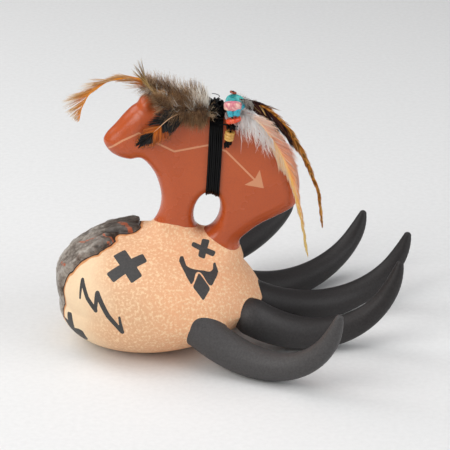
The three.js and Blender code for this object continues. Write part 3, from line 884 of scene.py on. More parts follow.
def ring_shape(radius, bore, height, corner, parts=48, steps=20):
    """A turned ring round +Z. Its section is an oval whose cosine and sine are raised to the power `corner`:
    at 1 it is an oval, and towards 0 an oblong."""
    angle = np.arange(steps) * TAU / steps
    across, up = (np.sign(value) * np.abs(value) ** corner for value in (np.cos(angle), np.sin(angle)))
    out = (radius + bore) / 2 + (radius - bore) / 2 * across
    rise = height / 2 * up
    turn = np.arange(parts) * TAU / parts
    points = np.stack([
        out[:, None] * np.cos(turn), out[:, None] * np.sin(turn), np.repeat(rise[:, None], parts, 1)
    ], -1).reshape(-1, 3)
    rows, columns = np.arange(steps)[:, None] * parts, np.arange(parts)
    following, after = (columns + 1) % parts, (rows + parts) % (steps * parts)
    quads = np.stack([rows + columns, rows + following, after + following, after + columns], -1)
    return points, quads.reshape(-1, 4), np.zeros((0, 3), int)


# The thread: seven turns round the belly, knots, cut ends, and the line through the beads

STRAND = 0.5
WRAP = {
    "top": 115.5, "x_top": 26.8, "x_bottom": 24.1, "half_width": 3.15, "sag": 1.2,
    "turns": 7, "from": 0.125, "points": 64, "loose": 0.1,
}
# Waves along the windings: millimetres, radians to a turn, and radians at the start
SIDE_WAVES = (0.07, 19, 0), (0.06, 8.6, 1)
LIFT_WAVE = 0.14, 5.2, 2
KNOT = {"inset": 0.45, "lobe": 0.45, "spread": 1.3, "height": 0.75}
KNOTS = [  # middle and radius
    ((31.5, -8, 109.9), 1.35), ((33, -8.5, 109.9), 1.6), ((34.4, -8.2, 109.6), 1.35),
    ((31.2, -7.6, 102.3), 1.7), ((30.4, -7.6, 100.9), 1.45), ((25.2, -1, 117.6), 1.7),
    ((27.4, 1.6, 117.8), 1.8), ((25.8, 5, 117.6), 1.6), ((30.2, -2.4, 117.2), 1.7),
    ((22.4, 0.6, 118), 1.5), ((24.4, -5.2, 116), 1.5), ((28.6, -4.6, 116.4), 1.6),
]
CUT_ENDS = {
    "count": 52, "seed": 41, "turn": 2.1,
    "start": ((21.8, 30.4), (-5.8, 5), (112, 118)), "lean": ((-4, 2), (-2, 1), (-1, 1)),
    "turns": (0.6, 1.9), "width": (0.6, 1.7), "rise": (0.5, 4), "radius": (0.16, 0.3),
}
TIE = [(27, -5.2, 110), (30, -6.8, 110.6), (33, -8.2, 110)]  # from the windings to the bead line
TIE_STRAND = 0.4
BEADS = {  # middle, axis, radius, height
    "red_cap": ((33.5, -0.6, 123.6), (0.3, 0.12, 0.94), 1.6, 0.8),
    "turquoise_disc": ((34.6, -3.4, 119.8), (0.22, -0.42, 0.88), 4.75, 2),
    "pink_shell": ((33.3, -7.9, 119.9), (0, 0.2, 0.98), 4, 3.7),
    "turquoise_upper": ((35.1, -10.2, 118), (0.2, 0.1, 0.97), 1.8, 3.3),
    "turquoise_lower": ((32.3, -10.4, 117.3), (-0.15, 0.1, 0.98), 1.55, 3.1),
    "coral": ((33.6, -9, 113.6), (-0.24, 0.16, 0.95), 3.6, 2.3),
    "yellow_shell_1": ((32.2, -7.8, 107), (0.16, -0.1, 0.98), 2.2, 1.35),
    "yellow_shell_2": ((31.9, -7.7, 105.6), (0.12, -0.05, 0.99), 2.3, 1.35),
    "yellow_shell_3": ((31.7, -7.6, 104.2), (0.16, -0.05, 0.98), 2.15, 1.35),
}
BORE = 0.75
BEAD_STRAND = 0.42
BEAD_LINE = [(33.5, -0.6, 124.1), (34.4, 0.6, 122.4), (34.8, -1, 119.8)]
BEAD_LINE += [BEADS[name][0] for name in list(BEADS)[1:6]] + [(33, -8.4, 110)]
BEAD_LINE += [BEADS[name][0] for name in list(BEADS)[6:]] + [(31.2, -7.6, 101.2)]


def waxed_thread_finish():
    """Near black, with paler fibres drawn out upright; the palest streaks are painted glints."""
    wax = Finish("waxed_thread", Roughness=0.26, Specular_IOR_Level=0.14)
    fibres_and_glints = wax.noise(1, 3, 0.6, place=wax.scaled(2600, 2600, 500))
    # The pale grey stop paints thin glints along the strands: painted highlights
    colour = wax.ramp(fibres_and_glints, [(0.4, rgb(2, 2, 3)), (0.7, rgb(7, 7, 8)), (0.82, rgb(64, 63, 62))])
    return wax.finish(Base_Color=colour, Normal=wax.bump(fibres_and_glints, 0.00015, 0.5))


def hole_top(x, stations=60):
    """The height of the hole's upper edge at x, but never more than the band's sag below its top."""
    turn = np.linspace(np.pi, 0, stations)
    u, v = BEAR_HOLE["half_width"] * np.cos(turn), BEAR_HOLE["half_height"] * np.sin(turn)
    cos, sin = math.cos(BEAR_HOLE["lean"]), math.sin(BEAR_HOLE["lean"])
    height = np.interp(x, BEAR_HOLE["x"] + u * cos - v * sin, BEAR_HOLE["z"] + u * sin + v * cos)
    return np.maximum(height, height.max() - WRAP["sag"])


def wrap_path():
    """The thread's middle line. Each turn goes over the back in half an oval, straight down the near face,
    through the hole in a smaller half oval and straight up the far face, while it moves across the band."""
    turns = WRAP["turns"]
    share = np.linspace(WRAP["from"], turns + WRAP["from"], turns * WRAP["points"])
    across = WRAP["half_width"] * (2 * share / share[-1] - 1)
    for size, pace, begin in SIDE_WAVES:
        across = across + size * np.sin(pace * share + begin)
    size, pace, begin = LIFT_WAVE
    lift = STRAND + WRAP["loose"] + size * np.sin(pace * share + begin) ** 2
    part = share % 1 * 4
    quarter, step = part.astype(int), part % 1
    cos, sin = np.cos(np.pi * step), np.sin(np.pi * step)
    bottom = hole_top(WRAP["x_bottom"] + across)
    high, low = WRAP["top"] - BEAR["rounding"], bottom + BEAR_HOLE["rounding"]
    z = np.choose(quarter, [
        high + (BEAR["rounding"] + lift) * sin, high + (low - high) * step,
        low - (BEAR_HOLE["rounding"] + lift) * sin, low + (high - low) * step,
    ])
    face = np.ones_like(cos)
    y = BEAR["middle_y"] + (BEAR["half_thickness"] + lift) * np.choose(quarter, [cos, -face, -cos, face])
    x = np.interp(z, [bottom.min(), WRAP["top"]], [WRAP["x_bottom"], WRAP["x_top"]]) + across
    return np.stack([x, y, z], 1)


def curl(start, lean, turns, width, rise, begin, stations=26):
    """A cut end of thread that curls as it rises: a helix that widens, leaning over."""
    share = np.linspace(0, 1, stations)
    angle = TAU * turns * share + begin
    out = width * np.sin(np.pi * share / 2)
    right, back = out * (np.cos(angle) - math.cos(begin)), out * (np.sin(angle) - math.sin(begin))
    return np.array(start) + np.stack([right, back, rise * share], 1) + share[:, None] ** 2 * np.array(lean)


def knot(middle, radius, stations=60):
    """Two turns of thread pulled tight over each other: a loop of three lobes, closed on itself."""
    share = np.linspace(0, TAU, stations)
    reach, lobe = radius - KNOT["inset"], KNOT["lobe"]
    path = np.stack([
        reach * (np.cos(share) + lobe * np.cos(2 * share)) / KNOT["spread"],
        reach * (np.sin(share) - lobe * np.sin(2 * share)) / KNOT["spread"],
        KNOT["height"] * reach * np.sin(3 * share),
    ], 1)
    return tube(np.array(middle) + path, STRAND)


def make_thread():
    """The windings, the line through the beads, its tie to the windings, the knots and the curly cut ends."""
    pile = Pile()
    pile.add(*tube(wrap_path(), STRAND, facing=(1, 0, 0)))
    pile.add(*tube(curve_through(BEAD_LINE, 80), BEAD_STRAND, facing=(1, 0, 0)))
    pile.add(*tube(curve_through(TIE, 16), TIE_STRAND))
    for middle, radius in KNOTS:
        pile.add(*knot(middle, radius))
    ends = np.random.default_rng(CUT_ENDS["seed"])
    for number in range(CUT_ENDS["count"]):
        start, lean = ([ends.uniform(*span) for span in CUT_ENDS[key]] for key in ("start", "lean"))
        turns, width, rise = (ends.uniform(*CUT_ENDS[key]) for key in ("turns", "width", "rise"))
        path = curl(start, lean, turns, width, rise, number * CUT_ENDS["turn"])
        pile.add(*tube(path, ends.uniform(*CUT_ENDS["radius"]), 6))
    pile.piece("thread_wrap_and_knots", waxed_thread_finish(), "thread", ["waxed_thread"])


make_thread()


# The beads


LOWER_TONE = {"full": 0.1196, "gone": 0.12, "share": 0.7}  # two heights in metres, and its greatest share
BORE_RIM = 0.3  # the width round its bore where a bead is not lumpy


def stone_finish(name, light, middle, vein, scale, vein_width=0.02, roughness=0.22, vein_share=0.75,
                 lower=None):
    """A polished stone: clouds of two tones, with thin veins where a noise passes its middle. `lower` is its
    tone below the pink bead."""
    stone = Finish(name, Roughness=roughness, Specular_IOR_Level=0.55)
    cloud = stone.ramp(stone.noise(scale, 4, 0.6), [(0.35, middle), (0.65, light)])
    edge = stone.math("ABSOLUTE", stone.math("SUBTRACT", stone.noise(scale * 0.7, 3, 0.6, 0.6), 0.5))
    if lower:
        z = stone.add("SeparateXYZ", inputs={0: stone.place}).outputs[2]
        below = stone.between(z, LOWER_TONE["full"], LOWER_TONE["gone"], LOWER_TONE["share"], 0)
        cloud = stone.mix(below, cloud, lower)
    colour = stone.mix(stone.between(edge, 0, vein_width, vein_share, 0), cloud, vein)
    return stone.finish(Base_Color=colour, Normal=stone.bump(stone.noise(scale * 3, 3), 0.0002, 0.15))


def make_beads():
    turquoise = stone_finish("turquoise", rgb(80, 198, 194), rgb(30, 146, 150), rgb(60, 76, 62), 300,
                             lower=rgb(58, 172, 200))
    coral = stone_finish("coral", rgb(232, 84, 44), rgb(206, 56, 28), rgb(240, 140, 100), 300)
    pink = stone_finish("pink_shell", rgb(246, 216, 186), rgb(222, 126, 148), rgb(204, 92, 122), 210, 0.07)
    yellow = stone_finish("yellow_shell", rgb(232, 186, 104), rgb(204, 152, 72), rgb(150, 98, 44), 130,
                          roughness=0.18, vein_share=0.4)
    cap = stone_finish("brown_red_stone", rgb(164, 74, 48), rgb(122, 48, 32), rgb(196, 120, 84), 300)
    stones = {  # finish, slot, how oval the section is, and the depth of the lumps
        "red_cap": (cap, "coral", 0.6, 0.1), "turquoise_disc": (turquoise, "turquoise", 0.7, 0.1),
        "pink_shell": (pink, "pink_shell", 0.6, 0.03), "turquoise_upper": (turquoise, "turquoise", 0.9, 0.25),
        "turquoise_lower": (turquoise, "turquoise", 0.9, 0.25), "coral": (coral, "coral", 0.75, 0.35),
    }
    for number, (name, (middle, axis, radius, height)) in enumerate(BEADS.items()):
        finish, slot, corner, rough = stones.get(name, (yellow, "yellow_shell", 0.5, 0.06))
        up = unit(np.array(axis, float))
        side = unit(np.cross((0, 1, 0), up))
        points, quads, _ = ring_shape(radius, BORE, height, corner)
        out = np.linalg.norm(points[:, :2], axis=1)
        lump = rough * layered_noise(points, 2.2, 2, seed=60 + number)
        points = points * (1 + np.where(out > BORE + BORE_RIM, lump / radius, 0))[:, None]
        points = np.array(middle) + points @ np.stack([side, np.cross(up, side), up])
        make_piece(name + "_bead", points, [quads], finish, slot, ["bead_" + name])


make_beads()


# The feathers: a quill, barbs on both sides, and down at the root

FEATHERS = {
    "front_hackle": [
        (22.7, 3, 118.2), (14.2, 3, 119.6), (6.1, 3, 121.5), (-2.5, 3, 124.5), (-6.3, 2.5, 128.1),
        (-12.6, 1.5, 129.8), (-18.5, 0, 129.7), (-22.8, -0.5, 128.8), (-27.1, -1, 126),
        (-30.6, -1.5, 123.4), (-32.8, -2, 120), (-34.6, -2.5, 116), (-35.5, -3, 111.2),
    ],
    "spotted": [
        (21.9, -6, 114.4), (14.3, -8, 117.1), (6.5, -9.4, 115.4), (-0.7, -9, 109), (-7.8, -6.8, 101.6),
    ],
    "brown_down": [
        (22, -4, 116.6), (14, -5.4, 117), (5.7, -6, 117.9), (-0.4, -5, 123.6), (-4.6, -4, 129.1),
        (-7, -3, 134.7),
    ],
    "white_hackle": [
        (30.8, -2.8, 115.7), (37.5, -4.4, 115.4), (44.9, -6.6, 111.5), (50.1, -6.8, 105),
        (54.8, -6.4, 97.3), (58.4, -6, 89.1), (61, -6, 80.9), (63.4, -6, 70.2), (65.3, -6, 60.7),
        (67.3, -6, 49.1),
    ],
    "striped_hackle": [
        (30.8, 0, 119.7), (37.7, -2.5, 120.9), (44, -4, 119.7), (50.2, -4.6, 115.9), (57, -3.8, 108.8),
        (61.7, -1.8, 100.9), (65.8, 0.5, 92.3), (69, 2, 84), (71.9, 3, 75.8), (73.6, 4, 67.1),
        (74.6, 4, 58.1),
    ],
    "small_brown": [(30.9, 8, 116.8), (38, 8.8, 116), (46, 8.8, 114.2), (54.6, 8.6, 111.4)],
}
QUILL_POINTS = 160
QUILL_TAPER = 0.85
BARB_POINTS = 7
QUILL, VANE, OTHER_VANE, FLUFF = 0, 1, -1, 2  # what a slip is; the feather finishes read it as `side`
SLIP = {"stretch": (0.82, 1.06), "slant": 1.2, "taper": 0.88, "ridge": 0.6, "waves": (1.1, 0.9)}
TUFT = {  # spreads of the tufts, and of the slips in a tuft
    "share": 0.02, "spread": 14, "stretch": (0.55, 1.15), "own_stretch": (0.75, 1.1),
    "slant": 12, "own_slant": 7, "own_tone": 0.4, "own_phase": 0.12,
}
CLUMPS = 60, 1.6  # the quill's length and the spacing of the noise that makes slips lean together


class Feather:
    """A quill along a curve, and slips that grow from it."""

    def __init__(self, name, facing, thickness, seed):
        self.name = name
        self.pile = Pile()
        self.random = np.random.default_rng(seed)
        self.path = curve_through(FEATHERS[name], QUILL_POINTS)
        self.frames = path_frames(self.path, facing)
        share = np.linspace(0, 1, QUILL_POINTS)[::2]
        self.pile.add(
            *tube(self.path[::2], thickness * (1 - QUILL_TAPER * share), 6, facing),
            out=0.0, tone=0.5, side=QUILL, along=np.append(np.repeat(share, 6), (0, 1)),
        )

    def at(self, values, share):
        """Values given along the quill, read at each share of its length."""
        place = share * (len(values) - 1)
        k = np.minimum(place.astype(int), len(values) - 2)
        part = (place - k)[:, None]
        return values[k] * (1 - part) + values[k + 1] * part

    def scatter(self, count, first, last, around, tufts, tones):
        """Draws each slip's share of the quill, turn about it, stretch, slant, tone and phases of sway."""
        random = self.random
        share = np.sort(random.uniform(first, last, count))
        spread = random.uniform(-around, around, count)
        stretch = random.uniform(*SLIP["stretch"], count)
        slant = random.normal(0, SLIP["slant"], count)
        tone = random.uniform(*tones, count)
        phase = random.uniform(0, TAU, (count, 1, 2))
        if tufts:
            tuft = random.integers(0, tufts, count)
            share = random.uniform(first, last, tufts)[tuft] + random.normal(0, TUFT["share"], count)
            share = np.clip(share, first, last)
            spread = random.uniform(-around, around, tufts)[tuft] + random.normal(0, TUFT["spread"], count)
            stretch = stretch * random.uniform(*TUFT["stretch"], tufts)[tuft]
            stretch = stretch * random.uniform(*TUFT["own_stretch"], count)
            slant = random.normal(0, TUFT["slant"], tufts)[tuft] + random.normal(0, TUFT["own_slant"], count)
            own = TUFT["own_tone"]
            tone = (1 - own) * random.uniform(*tones, tufts)[tuft] + own * tone
            phase = random.uniform(0, TAU, (tufts, 1, 2))[tuft] + TUFT["own_phase"] * phase
        return share, spread, stretch, slant, tone, phase

    def grow(self, count, first, last, length, angle, around=(0, 8), width=0.3, turn=0.0, sway=0.0, fall=0.0,
             groups=0.0, side=VANE, tufts=0, tones=(0, 1)):
        """Slips from between two shares of the quill. Lengths, and angles to the quill, are lists of
        (share, value). `around` is the middle and the spread, in degrees, of their turn about the quill, and
        0 is its right-hand side. A slip bends by `turn` degrees, falls by `fall` of its length at its end,
        and waves by `sway` millimetres. Slips of the same tuft start together and lie nearly the same way."""
        share, spread, stretch, slant, tone, phase = self.scatter(count, first, last, around[1], tufts, tones)
        root = self.at(self.path, share)
        travel, across, raised = (unit(self.at(values, share)) for values in self.frames)
        reach = np.interp(share, *zip(*length)) * stretch
        lean = np.interp(share, *zip(*angle)) + slant
        if groups:
            scale, spacing = CLUMPS
            place = np.stack([share * scale, share * 0, share * 0], 1)
            lean = lean + groups * noise(place, spacing, seed=count)
        lean = np.radians(lean)
        about = np.radians(around[0] + spread)
        outward = np.cos(about)[:, None] * across + np.sin(about)[:, None] * raised
        start = np.cos(lean)[:, None] * travel + np.sin(lean)[:, None] * outward
        lean = lean + np.radians(turn)
        end = np.cos(lean)[:, None] * travel + np.sin(lean)[:, None] * outward + np.array([0, 0, -fall])
        steps = np.linspace(0, 1, BARB_POINTS)[None, :, None]
        path = root[:, None] + reach[:, None, None] * (
            start[:, None] * (steps - steps**2 / 2) + end[:, None] * steps**2 / 2
        )
        if sway:
            waves = SLIP["waves"]
            wave = sway * steps * np.sin(phase[:, :, :1] + TAU * waves[0] * steps)
            lift = sway * steps * np.sin(phase[:, :, 1:] + TAU * waves[1] * steps)
            path = path + wave * across[:, None] + lift * raised[:, None]
        every = BARB_POINTS * 3
        self.pile.add(
            *slips(path, raised, width),
            along=np.repeat(share, every), tone=np.repeat(tone, every),
            out=np.broadcast_to(steps[:, :, 0, None], (count, BARB_POINTS, 3)).ravel(),
            side=np.full(count * every, float(side)),
        )

    def piece(self, finish, slot):
        self.pile.piece(self.name + "_feather", finish, slot, ["feather_" + self.name])


def slips(path, raised, width):
    """Thin three-sided spikes, one along each row of points, all closed at both ends."""
    count, stations = path.shape[:2]
    steps = np.linspace(0, 1, stations)[None, :, None]
    along = unit(np.gradient(path, axis=1))
    edge = unit(np.cross(along, raised[:, None] + 0.001))
    ridge = np.cross(edge, along)
    half = width / 2 * (1 - SLIP["taper"] * steps**3)
    ring = np.stack([path + SLIP["ridge"] * half * ridge, path + half * edge, path - half * edge], 2)
    base = np.arange(count)[:, None, None] * stations * 3
    station, corner = np.arange(stations - 1)[None, :, None] * 3, np.arange(3)[None, None, :]
    following = (corner + 1) % 3
    here, beyond = base + station, base + station + 3
    quads = np.stack(
        np.broadcast_arrays(here + corner, here + following, beyond + following, beyond + corner), -1
    ).reshape(-1, 4)
    foot, top = base[:, 0, :], base[:, 0, :] + 3 * (stations - 1)
    return ring.reshape(-1, 3), quads, np.concatenate([foot + (0, 2, 1), top + (0, 1, 2)])


def feather_finish(name, colour_of, through=0.4, sheen=0.2):
    """Fine barbs that let a share of the light through. colour_of(finish, along, out, tone, side) gives
    the vane's colour and the fluff's."""
    vane = Finish(name, Roughness=0.55, Specular_IOR_Level=0.12, Sheen_Weight=sheen, Sheen_Roughness=0.5)
    along, out, tone, side = (vane.attribute(key) for key in ("along", "out", "tone", "side"))
    barbs, fluff = colour_of(vane, along, out, tone, side)
    colour = vane.mix(vane.math("GREATER_THAN", side, FLUFF - 0.5), barbs, fluff)
    vane.put(vane.shader.inputs["Base Color"], colour)
    behind = vane.add("BsdfTranslucent", inputs={"Color": colour}).outputs[0]
    both = vane.add("MixShader", inputs={0: through, 1: vane.shader.outputs[0], 2: behind}).outputs[0]
    vane.tree.links.new(both, vane.tree.nodes["Material Output"].inputs["Surface"])
    return vane.material


def orange_colour(vane, along, out, tone, side):
    """Brown-grey fluff at the root, orange quill and inner barbs, pale thin ends."""
    inner = vane.ramp(tone, [(0.1, rgb(226, 128, 28)), (0.6, rgb(246, 162, 56)), (0.95, rgb(254, 204, 122))])
    outer = vane.ramp(tone, [(0.1, rgb(204, 146, 84)), (0.8, rgb(244, 212, 162))])
    return vane.mix(vane.between(out, 0.3, 0.8), inner, outer), fluff_colour(vane, out, tone)


def on_quill(vane, side):
    """1 on the quill and 0 on all that grows from it."""
    return vane.math("LESS_THAN", vane.math("ABSOLUTE", side), 0.5)


def fluff_colour(vane, out, tone):
    """Dark brown at the root of each hair and paler towards its end, in patches."""
    patch = vane.math("MULTIPLY_ADD", vane.noise(120, 3), 1.0, vane.math("MULTIPLY_ADD", tone, 0.7, -0.38))
    base = vane.ramp(patch, [
        (0.1, rgb(36, 19, 9)), (0.38, rgb(98, 62, 34)), (0.6, rgb(168, 124, 80)), (0.84, rgb(240, 220, 186)),
    ])
    hair = vane.mix(vane.between(out, 0.5, 1, 0, 0.5), base, rgb(204, 160, 110))
    return vane.mix(vane.math("GREATER_THAN", tone, 1.15), hair, rgb(250, 246, 238))


def down_colour(vane, along, out, tone, side):
    """Warm brown fluff, a pale quill, and olive-gold barbs in the tuft at its end."""
    tuft = vane.ramp(tone, [(0.1, rgb(112, 76, 30)), (0.6, rgb(182, 140, 66)), (1, rgb(220, 192, 126))])
    return vane.mix(on_quill(vane, side), tuft, rgb(206, 170, 130)), fluff_colour(vane, out, tone)


def spotted_colour(vane, along, out, tone, side):
    """Large black patches on both sides of a cream quill, an orange band and edge, and fluff at the root."""
    orange = vane.ramp(tone, [(0.1, rgb(176, 80, 12)), (0.8, rgb(222, 122, 34))])
    black = vane.ramp(tone, [(0.1, rgb(3, 3, 3)), (0.9, rgb(14, 11, 9))])
    below = vane.math("LESS_THAN", side, 0.0)
    place = vane.math("MULTIPLY_ADD", out, 0.03, along)
    low_reach = vane.between(along, 0.42, 0.66, 0.92, 0.45)
    reach = vane.math("MULTIPLY_ADD", below, vane.math("SUBTRACT", low_reach, 0.9), 0.9)
    near = vane.math("LESS_THAN", out, vane.math("MULTIPLY_ADD", tone, 0.06, reach))
    first = vane.math("MULTIPLY", vane.between(place, 0.66, 0.69, 1, 0), near)
    nearer = vane.math("LESS_THAN", out, vane.math("MULTIPLY_ADD", below, -0.1, 0.85))
    second = vane.math("MULTIPLY", vane.between(place, 0.78, 0.81), nearer)
    colour = vane.mix(vane.math("MAXIMUM", first, second), orange, black)
    colour = vane.mix(vane.between(out, 0.93, 0.98), colour, rgb(56, 26, 14))
    shaft = vane.mix(vane.between(along, 0.76, 0.82), rgb(236, 190, 150), rgb(120, 74, 40))
    return vane.mix(on_quill(vane, side), colour, shaft), fluff_colour(vane, out, tone)


def white_colour(vane, along, out, tone, side):
    """White and pink fluff at the root, then peach and yellow, with an orange outer side and a yellow tip."""
    inner = vane.ramp(along, [
        (0.1, rgb(255, 246, 240)), (0.24, rgb(255, 224, 192)), (0.38, rgb(255, 204, 142)),
        (0.62, rgb(252, 188, 86)), (0.95, rgb(236, 198, 84)),
    ])
    outer = vane.ramp(along, [
        (0.1, rgb(255, 236, 224)), (0.22, rgb(250, 190, 156)), (0.38, rgb(240, 138, 88)),
        (0.66, rgb(244, 158, 68)), (0.95, rgb(228, 186, 90)),
    ])
    run = vane.mix(vane.math("GREATER_THAN", side, 0.0), inner, outer)
    run = vane.mix(vane.between(tone, 0.55, 1, 0, 0.5), run, rgb(255, 240, 214))
    return run, vane.ramp(tone, [(0.1, rgb(255, 232, 220)), (0.7, rgb(255, 252, 250))])


def striped_colour(vane, along, out, tone, side):
    """Grey-white fluff, maroon-black barbs at the root, mostly below the quill, then gold with dark bars."""
    gold = vane.ramp(tone, [(0.1, rgb(186, 106, 30)), (0.6, rgb(226, 150, 56)), (0.95, rgb(246, 208, 132))])
    dark = vane.ramp(tone, [(0.1, rgb(12, 4, 6)), (0.7, rgb(58, 22, 22)), (0.95, rgb(112, 56, 40))])
    below = vane.math("LESS_THAN", side, 0.0)
    turn = vane.math("MULTIPLY_ADD", vane.noise(160, 2), 26, vane.math("MULTIPLY", along, 40))
    bars = vane.between(vane.math("SINE", turn), 0, 0.7, 0, 0.66)
    bars = vane.math("MULTIPLY", bars, vane.between(out, 0.2, 0.85, 1, 0.1))
    end = vane.math("MULTIPLY_ADD", below, 0.2, 0.2)
    root = vane.math("LESS_THAN", along, vane.math("MULTIPLY_ADD", tone, 0.05, end))
    stripe = vane.math("MULTIPLY", root, vane.between(tone, 0.94, 0.98, 1, 0))
    fluff = vane.ramp(tone, [(0.1, rgb(120, 112, 104)), (0.9, rgb(232, 226, 218))])
    return vane.mix(vane.math("MAXIMUM", stripe, bars), gold, dark), fluff


def small_brown_colour(vane, along, out, tone, side):
    """Brown spikes and grey-white fluff."""
    spikes = vane.ramp(tone, [(0.1, rgb(84, 50, 26)), (0.5, rgb(150, 98, 50)), (0.95, rgb(200, 170, 130))])
    return spikes, vane.ramp(tone, [(0.1, rgb(130, 118, 106)), (0.9, rgb(226, 218, 208))])


def make_front_hackle():
    """Long barbs that fan out above the quill, shorter ones below it, and fluff at the root."""
    feather = Feather("front_hackle", (0, -1, 0.2), 0.85, 5)
    fan = [(0.45, 8), (0.6, 13), (0.75, 14), (0.88, 8), (1, 1.5)]
    feather.grow(260, 0.48, 1, fan, [(0.45, 2), (0.6, 9), (0.8, 22), (1, 30)], (0, 16), 0.15, 10, 0.12,
                 groups=3)
    feather.grow(60, 0.3, 0.96, [(0.3, 9), (0.8, 3), (1, 1)], [(0, 7), (1, 6)], (180, 20), 0.2, 3, 0.1,
                 side=OTHER_VANE)
    feather.grow(200, 0.34, 0.56, [(0.34, 12), (0.56, 9)], [(0.34, 6), (0.56, 2)], (180, 70), 0.24, 1, 0.1,
                 tones=(0, 0.8))
    feather.grow(120, 0.26, 0.38, [(0.26, 13), (0.38, 10)], [(0.26, 34), (0.38, 14)], (180, 24), 0.2, 6, 0.2,
                 tones=(0, 0.5))
    down = {"length": [(0, 10), (0.2, 11), (0.33, 6)], "angle": [(0, 60), (0.2, 44), (0.33, 24)]}
    down |= {"around": (0, 180), "width": 0.12, "fall": 0.1, "side": FLUFF}
    feather.grow(900, 0, 0.26, turn=10, sway=1.0, **down)
    feather.grow(1500, 0, 0.28, turn=14, sway=1.6, tufts=60, **down)
    feather.piece(feather_finish("orange_feather", orange_colour, 0.2), "orange_feather")


def make_spotted():
    """Broad barbs on both sides of the quill, fluff at the root, and wisps that turn back from it."""
    feather = Feather("spotted", (0, -1, 0.1), 0.5, 6)
    upper = [(0, 2), (0.3, 6), (0.55, 9), (0.85, 8), (1, 4)]
    lower = [(0, 3), (0.3, 9), (0.5, 11), (0.8, 9), (1, 4)]
    feather.grow(300, 0.28, 1, upper, [(0, 50), (0.6, 40), (1, 14)], (0, 5), 0.36, -8, 0.1, groups=4)
    feather.grow(340, 0.28, 1, lower, [(0, 62), (0.6, 54), (1, 14)], (180, 5), 0.36, -6, 0.1,
                 groups=5, side=OTHER_VANE)
    feather.grow(1000, 0, 0.3, [(0, 7), (0.3, 6)], [(0, 76), (0.3, 50)], (180, 110), 0.12, 10, 1.0, 0.1,
                 side=FLUFF, tufts=36)
    feather.grow(110, 0, 0.05, [(0, 6), (0.05, 7)], [(0, 140), (0.05, 120)], (0, 70), 0.12, 10, 1.4,
                 side=FLUFF, tufts=16, tones=(0.4, 1.5))
    feather.piece(feather_finish("spotted_feather", spotted_colour, 0.25), "spotted_feather")


def make_brown_down():
    """A cloud of brown fluff with some white in it, a few long hairs, and an upright tuft at the tip."""
    feather = Feather("brown_down", (0, -1, 0.3), 0.5, 7)
    down = {"length": [(0, 10), (0.3, 9.5), (0.45, 8), (0.6, 4.5)], "angle": [(0, 72), (0.3, 54), (0.6, 18)]}
    down |= {"width": 0.12, "side": FLUFF}
    feather.grow(1000, 0, 0.54, around=(0, 180), turn=10, sway=1.4, fall=0.15, **down)
    feather.grow(1000, 0, 0.2, around=(0, 180), turn=14, sway=2.0, fall=0.15, tufts=44, **down)
    feather.grow(1600, 0.2, 0.56, around=(0, 118), turn=14, sway=2.0, tufts=70, **down)
    white = {"width": 0.14, "turn": -14, "sway": 1.4, "side": FLUFF, "tones": (1.3, 1.6)}
    feather.grow(240, 0, 0.14, [(0, 12.5), (0.14, 10)], [(0, 92), (0.14, 66)], (0, 56), tufts=22, **white)
    feather.grow(60, 0.1, 0.5, [(0, 9), (0.5, 10)], [(0.1, 60), (0.5, 40)], (0, 180), tufts=10, **white)
    feather.grow(16, 0.4, 0.8, [(0, 9), (0.8, 8)], [(0.3, 14), (0.8, 8)], (90, 90), 0.17, -2, 0.4,
                 tones=(0.5, 1.1))
    for at, lean, count in ((0.72, -12, 7), (0.76, -4, 12), (0.8, 4, 8), (0.84, 12, 5)):
        feather.grow(count, at - 0.04, at + 0.04, [(0.6, 14), (0.9, 10)], [(0, lean)], (0, 16), 0.17, 2, 0.25)
    feather.piece(feather_finish("brown_down", down_colour), "brown_down")


def make_white_hackle():
    """Barbs on the outer side, longer ones on the inner, and three coats of white fluff near the root."""
    feather = Feather("white_hackle", (0.2, -1, 0.2), 0.45, 8)
    outer = [(0.14, 8), (0.3, 12), (0.46, 11), (0.6, 8), (0.8, 6), (1, 4)]
    inner = [(0.26, 8), (0.38, 14), (0.55, 9), (0.8, 6), (1, 5)]
    barbs = {"width": 0.38, "turn": -8, "sway": 0.15}
    feather.grow(520, 0.14, 1, outer, [(0.14, 26), (0.35, 28), (0.6, 14), (1, 6)], (180, 8),
                 groups=3, **barbs)
    feather.grow(360, 0.26, 1, inner, [(0.26, 24), (0.4, 23), (0.6, 13), (1, 6)], (0, 8),
                 groups=4, side=OTHER_VANE, **barbs)
    feather.grow(260, 0, 0.16, [(0, 5), (0.16, 4)], [(0, 70), (0.16, 40)], (180, 90), 0.16, 16, 1.0, 0.1,
                 side=FLUFF)
    feather.grow(260, 0, 0.2, [(0, 9), (0.1, 13), (0.2, 14)], [(0, 84), (0.1, 66), (0.2, 54)], (20, 40), 0.2,
                 -10, 1.1, 0.15, side=FLUFF, tufts=30)
    feather.grow(130, 0.12, 0.34, [(0.1, 15), (0.34, 11)], [(0.1, 50), (0.34, 34)], (14, 30), 0.2, -8, 0.8,
                 side=FLUFF, tufts=22)
    feather.piece(feather_finish("white_feather", white_colour, 0.12, 1.0), "white_feather")


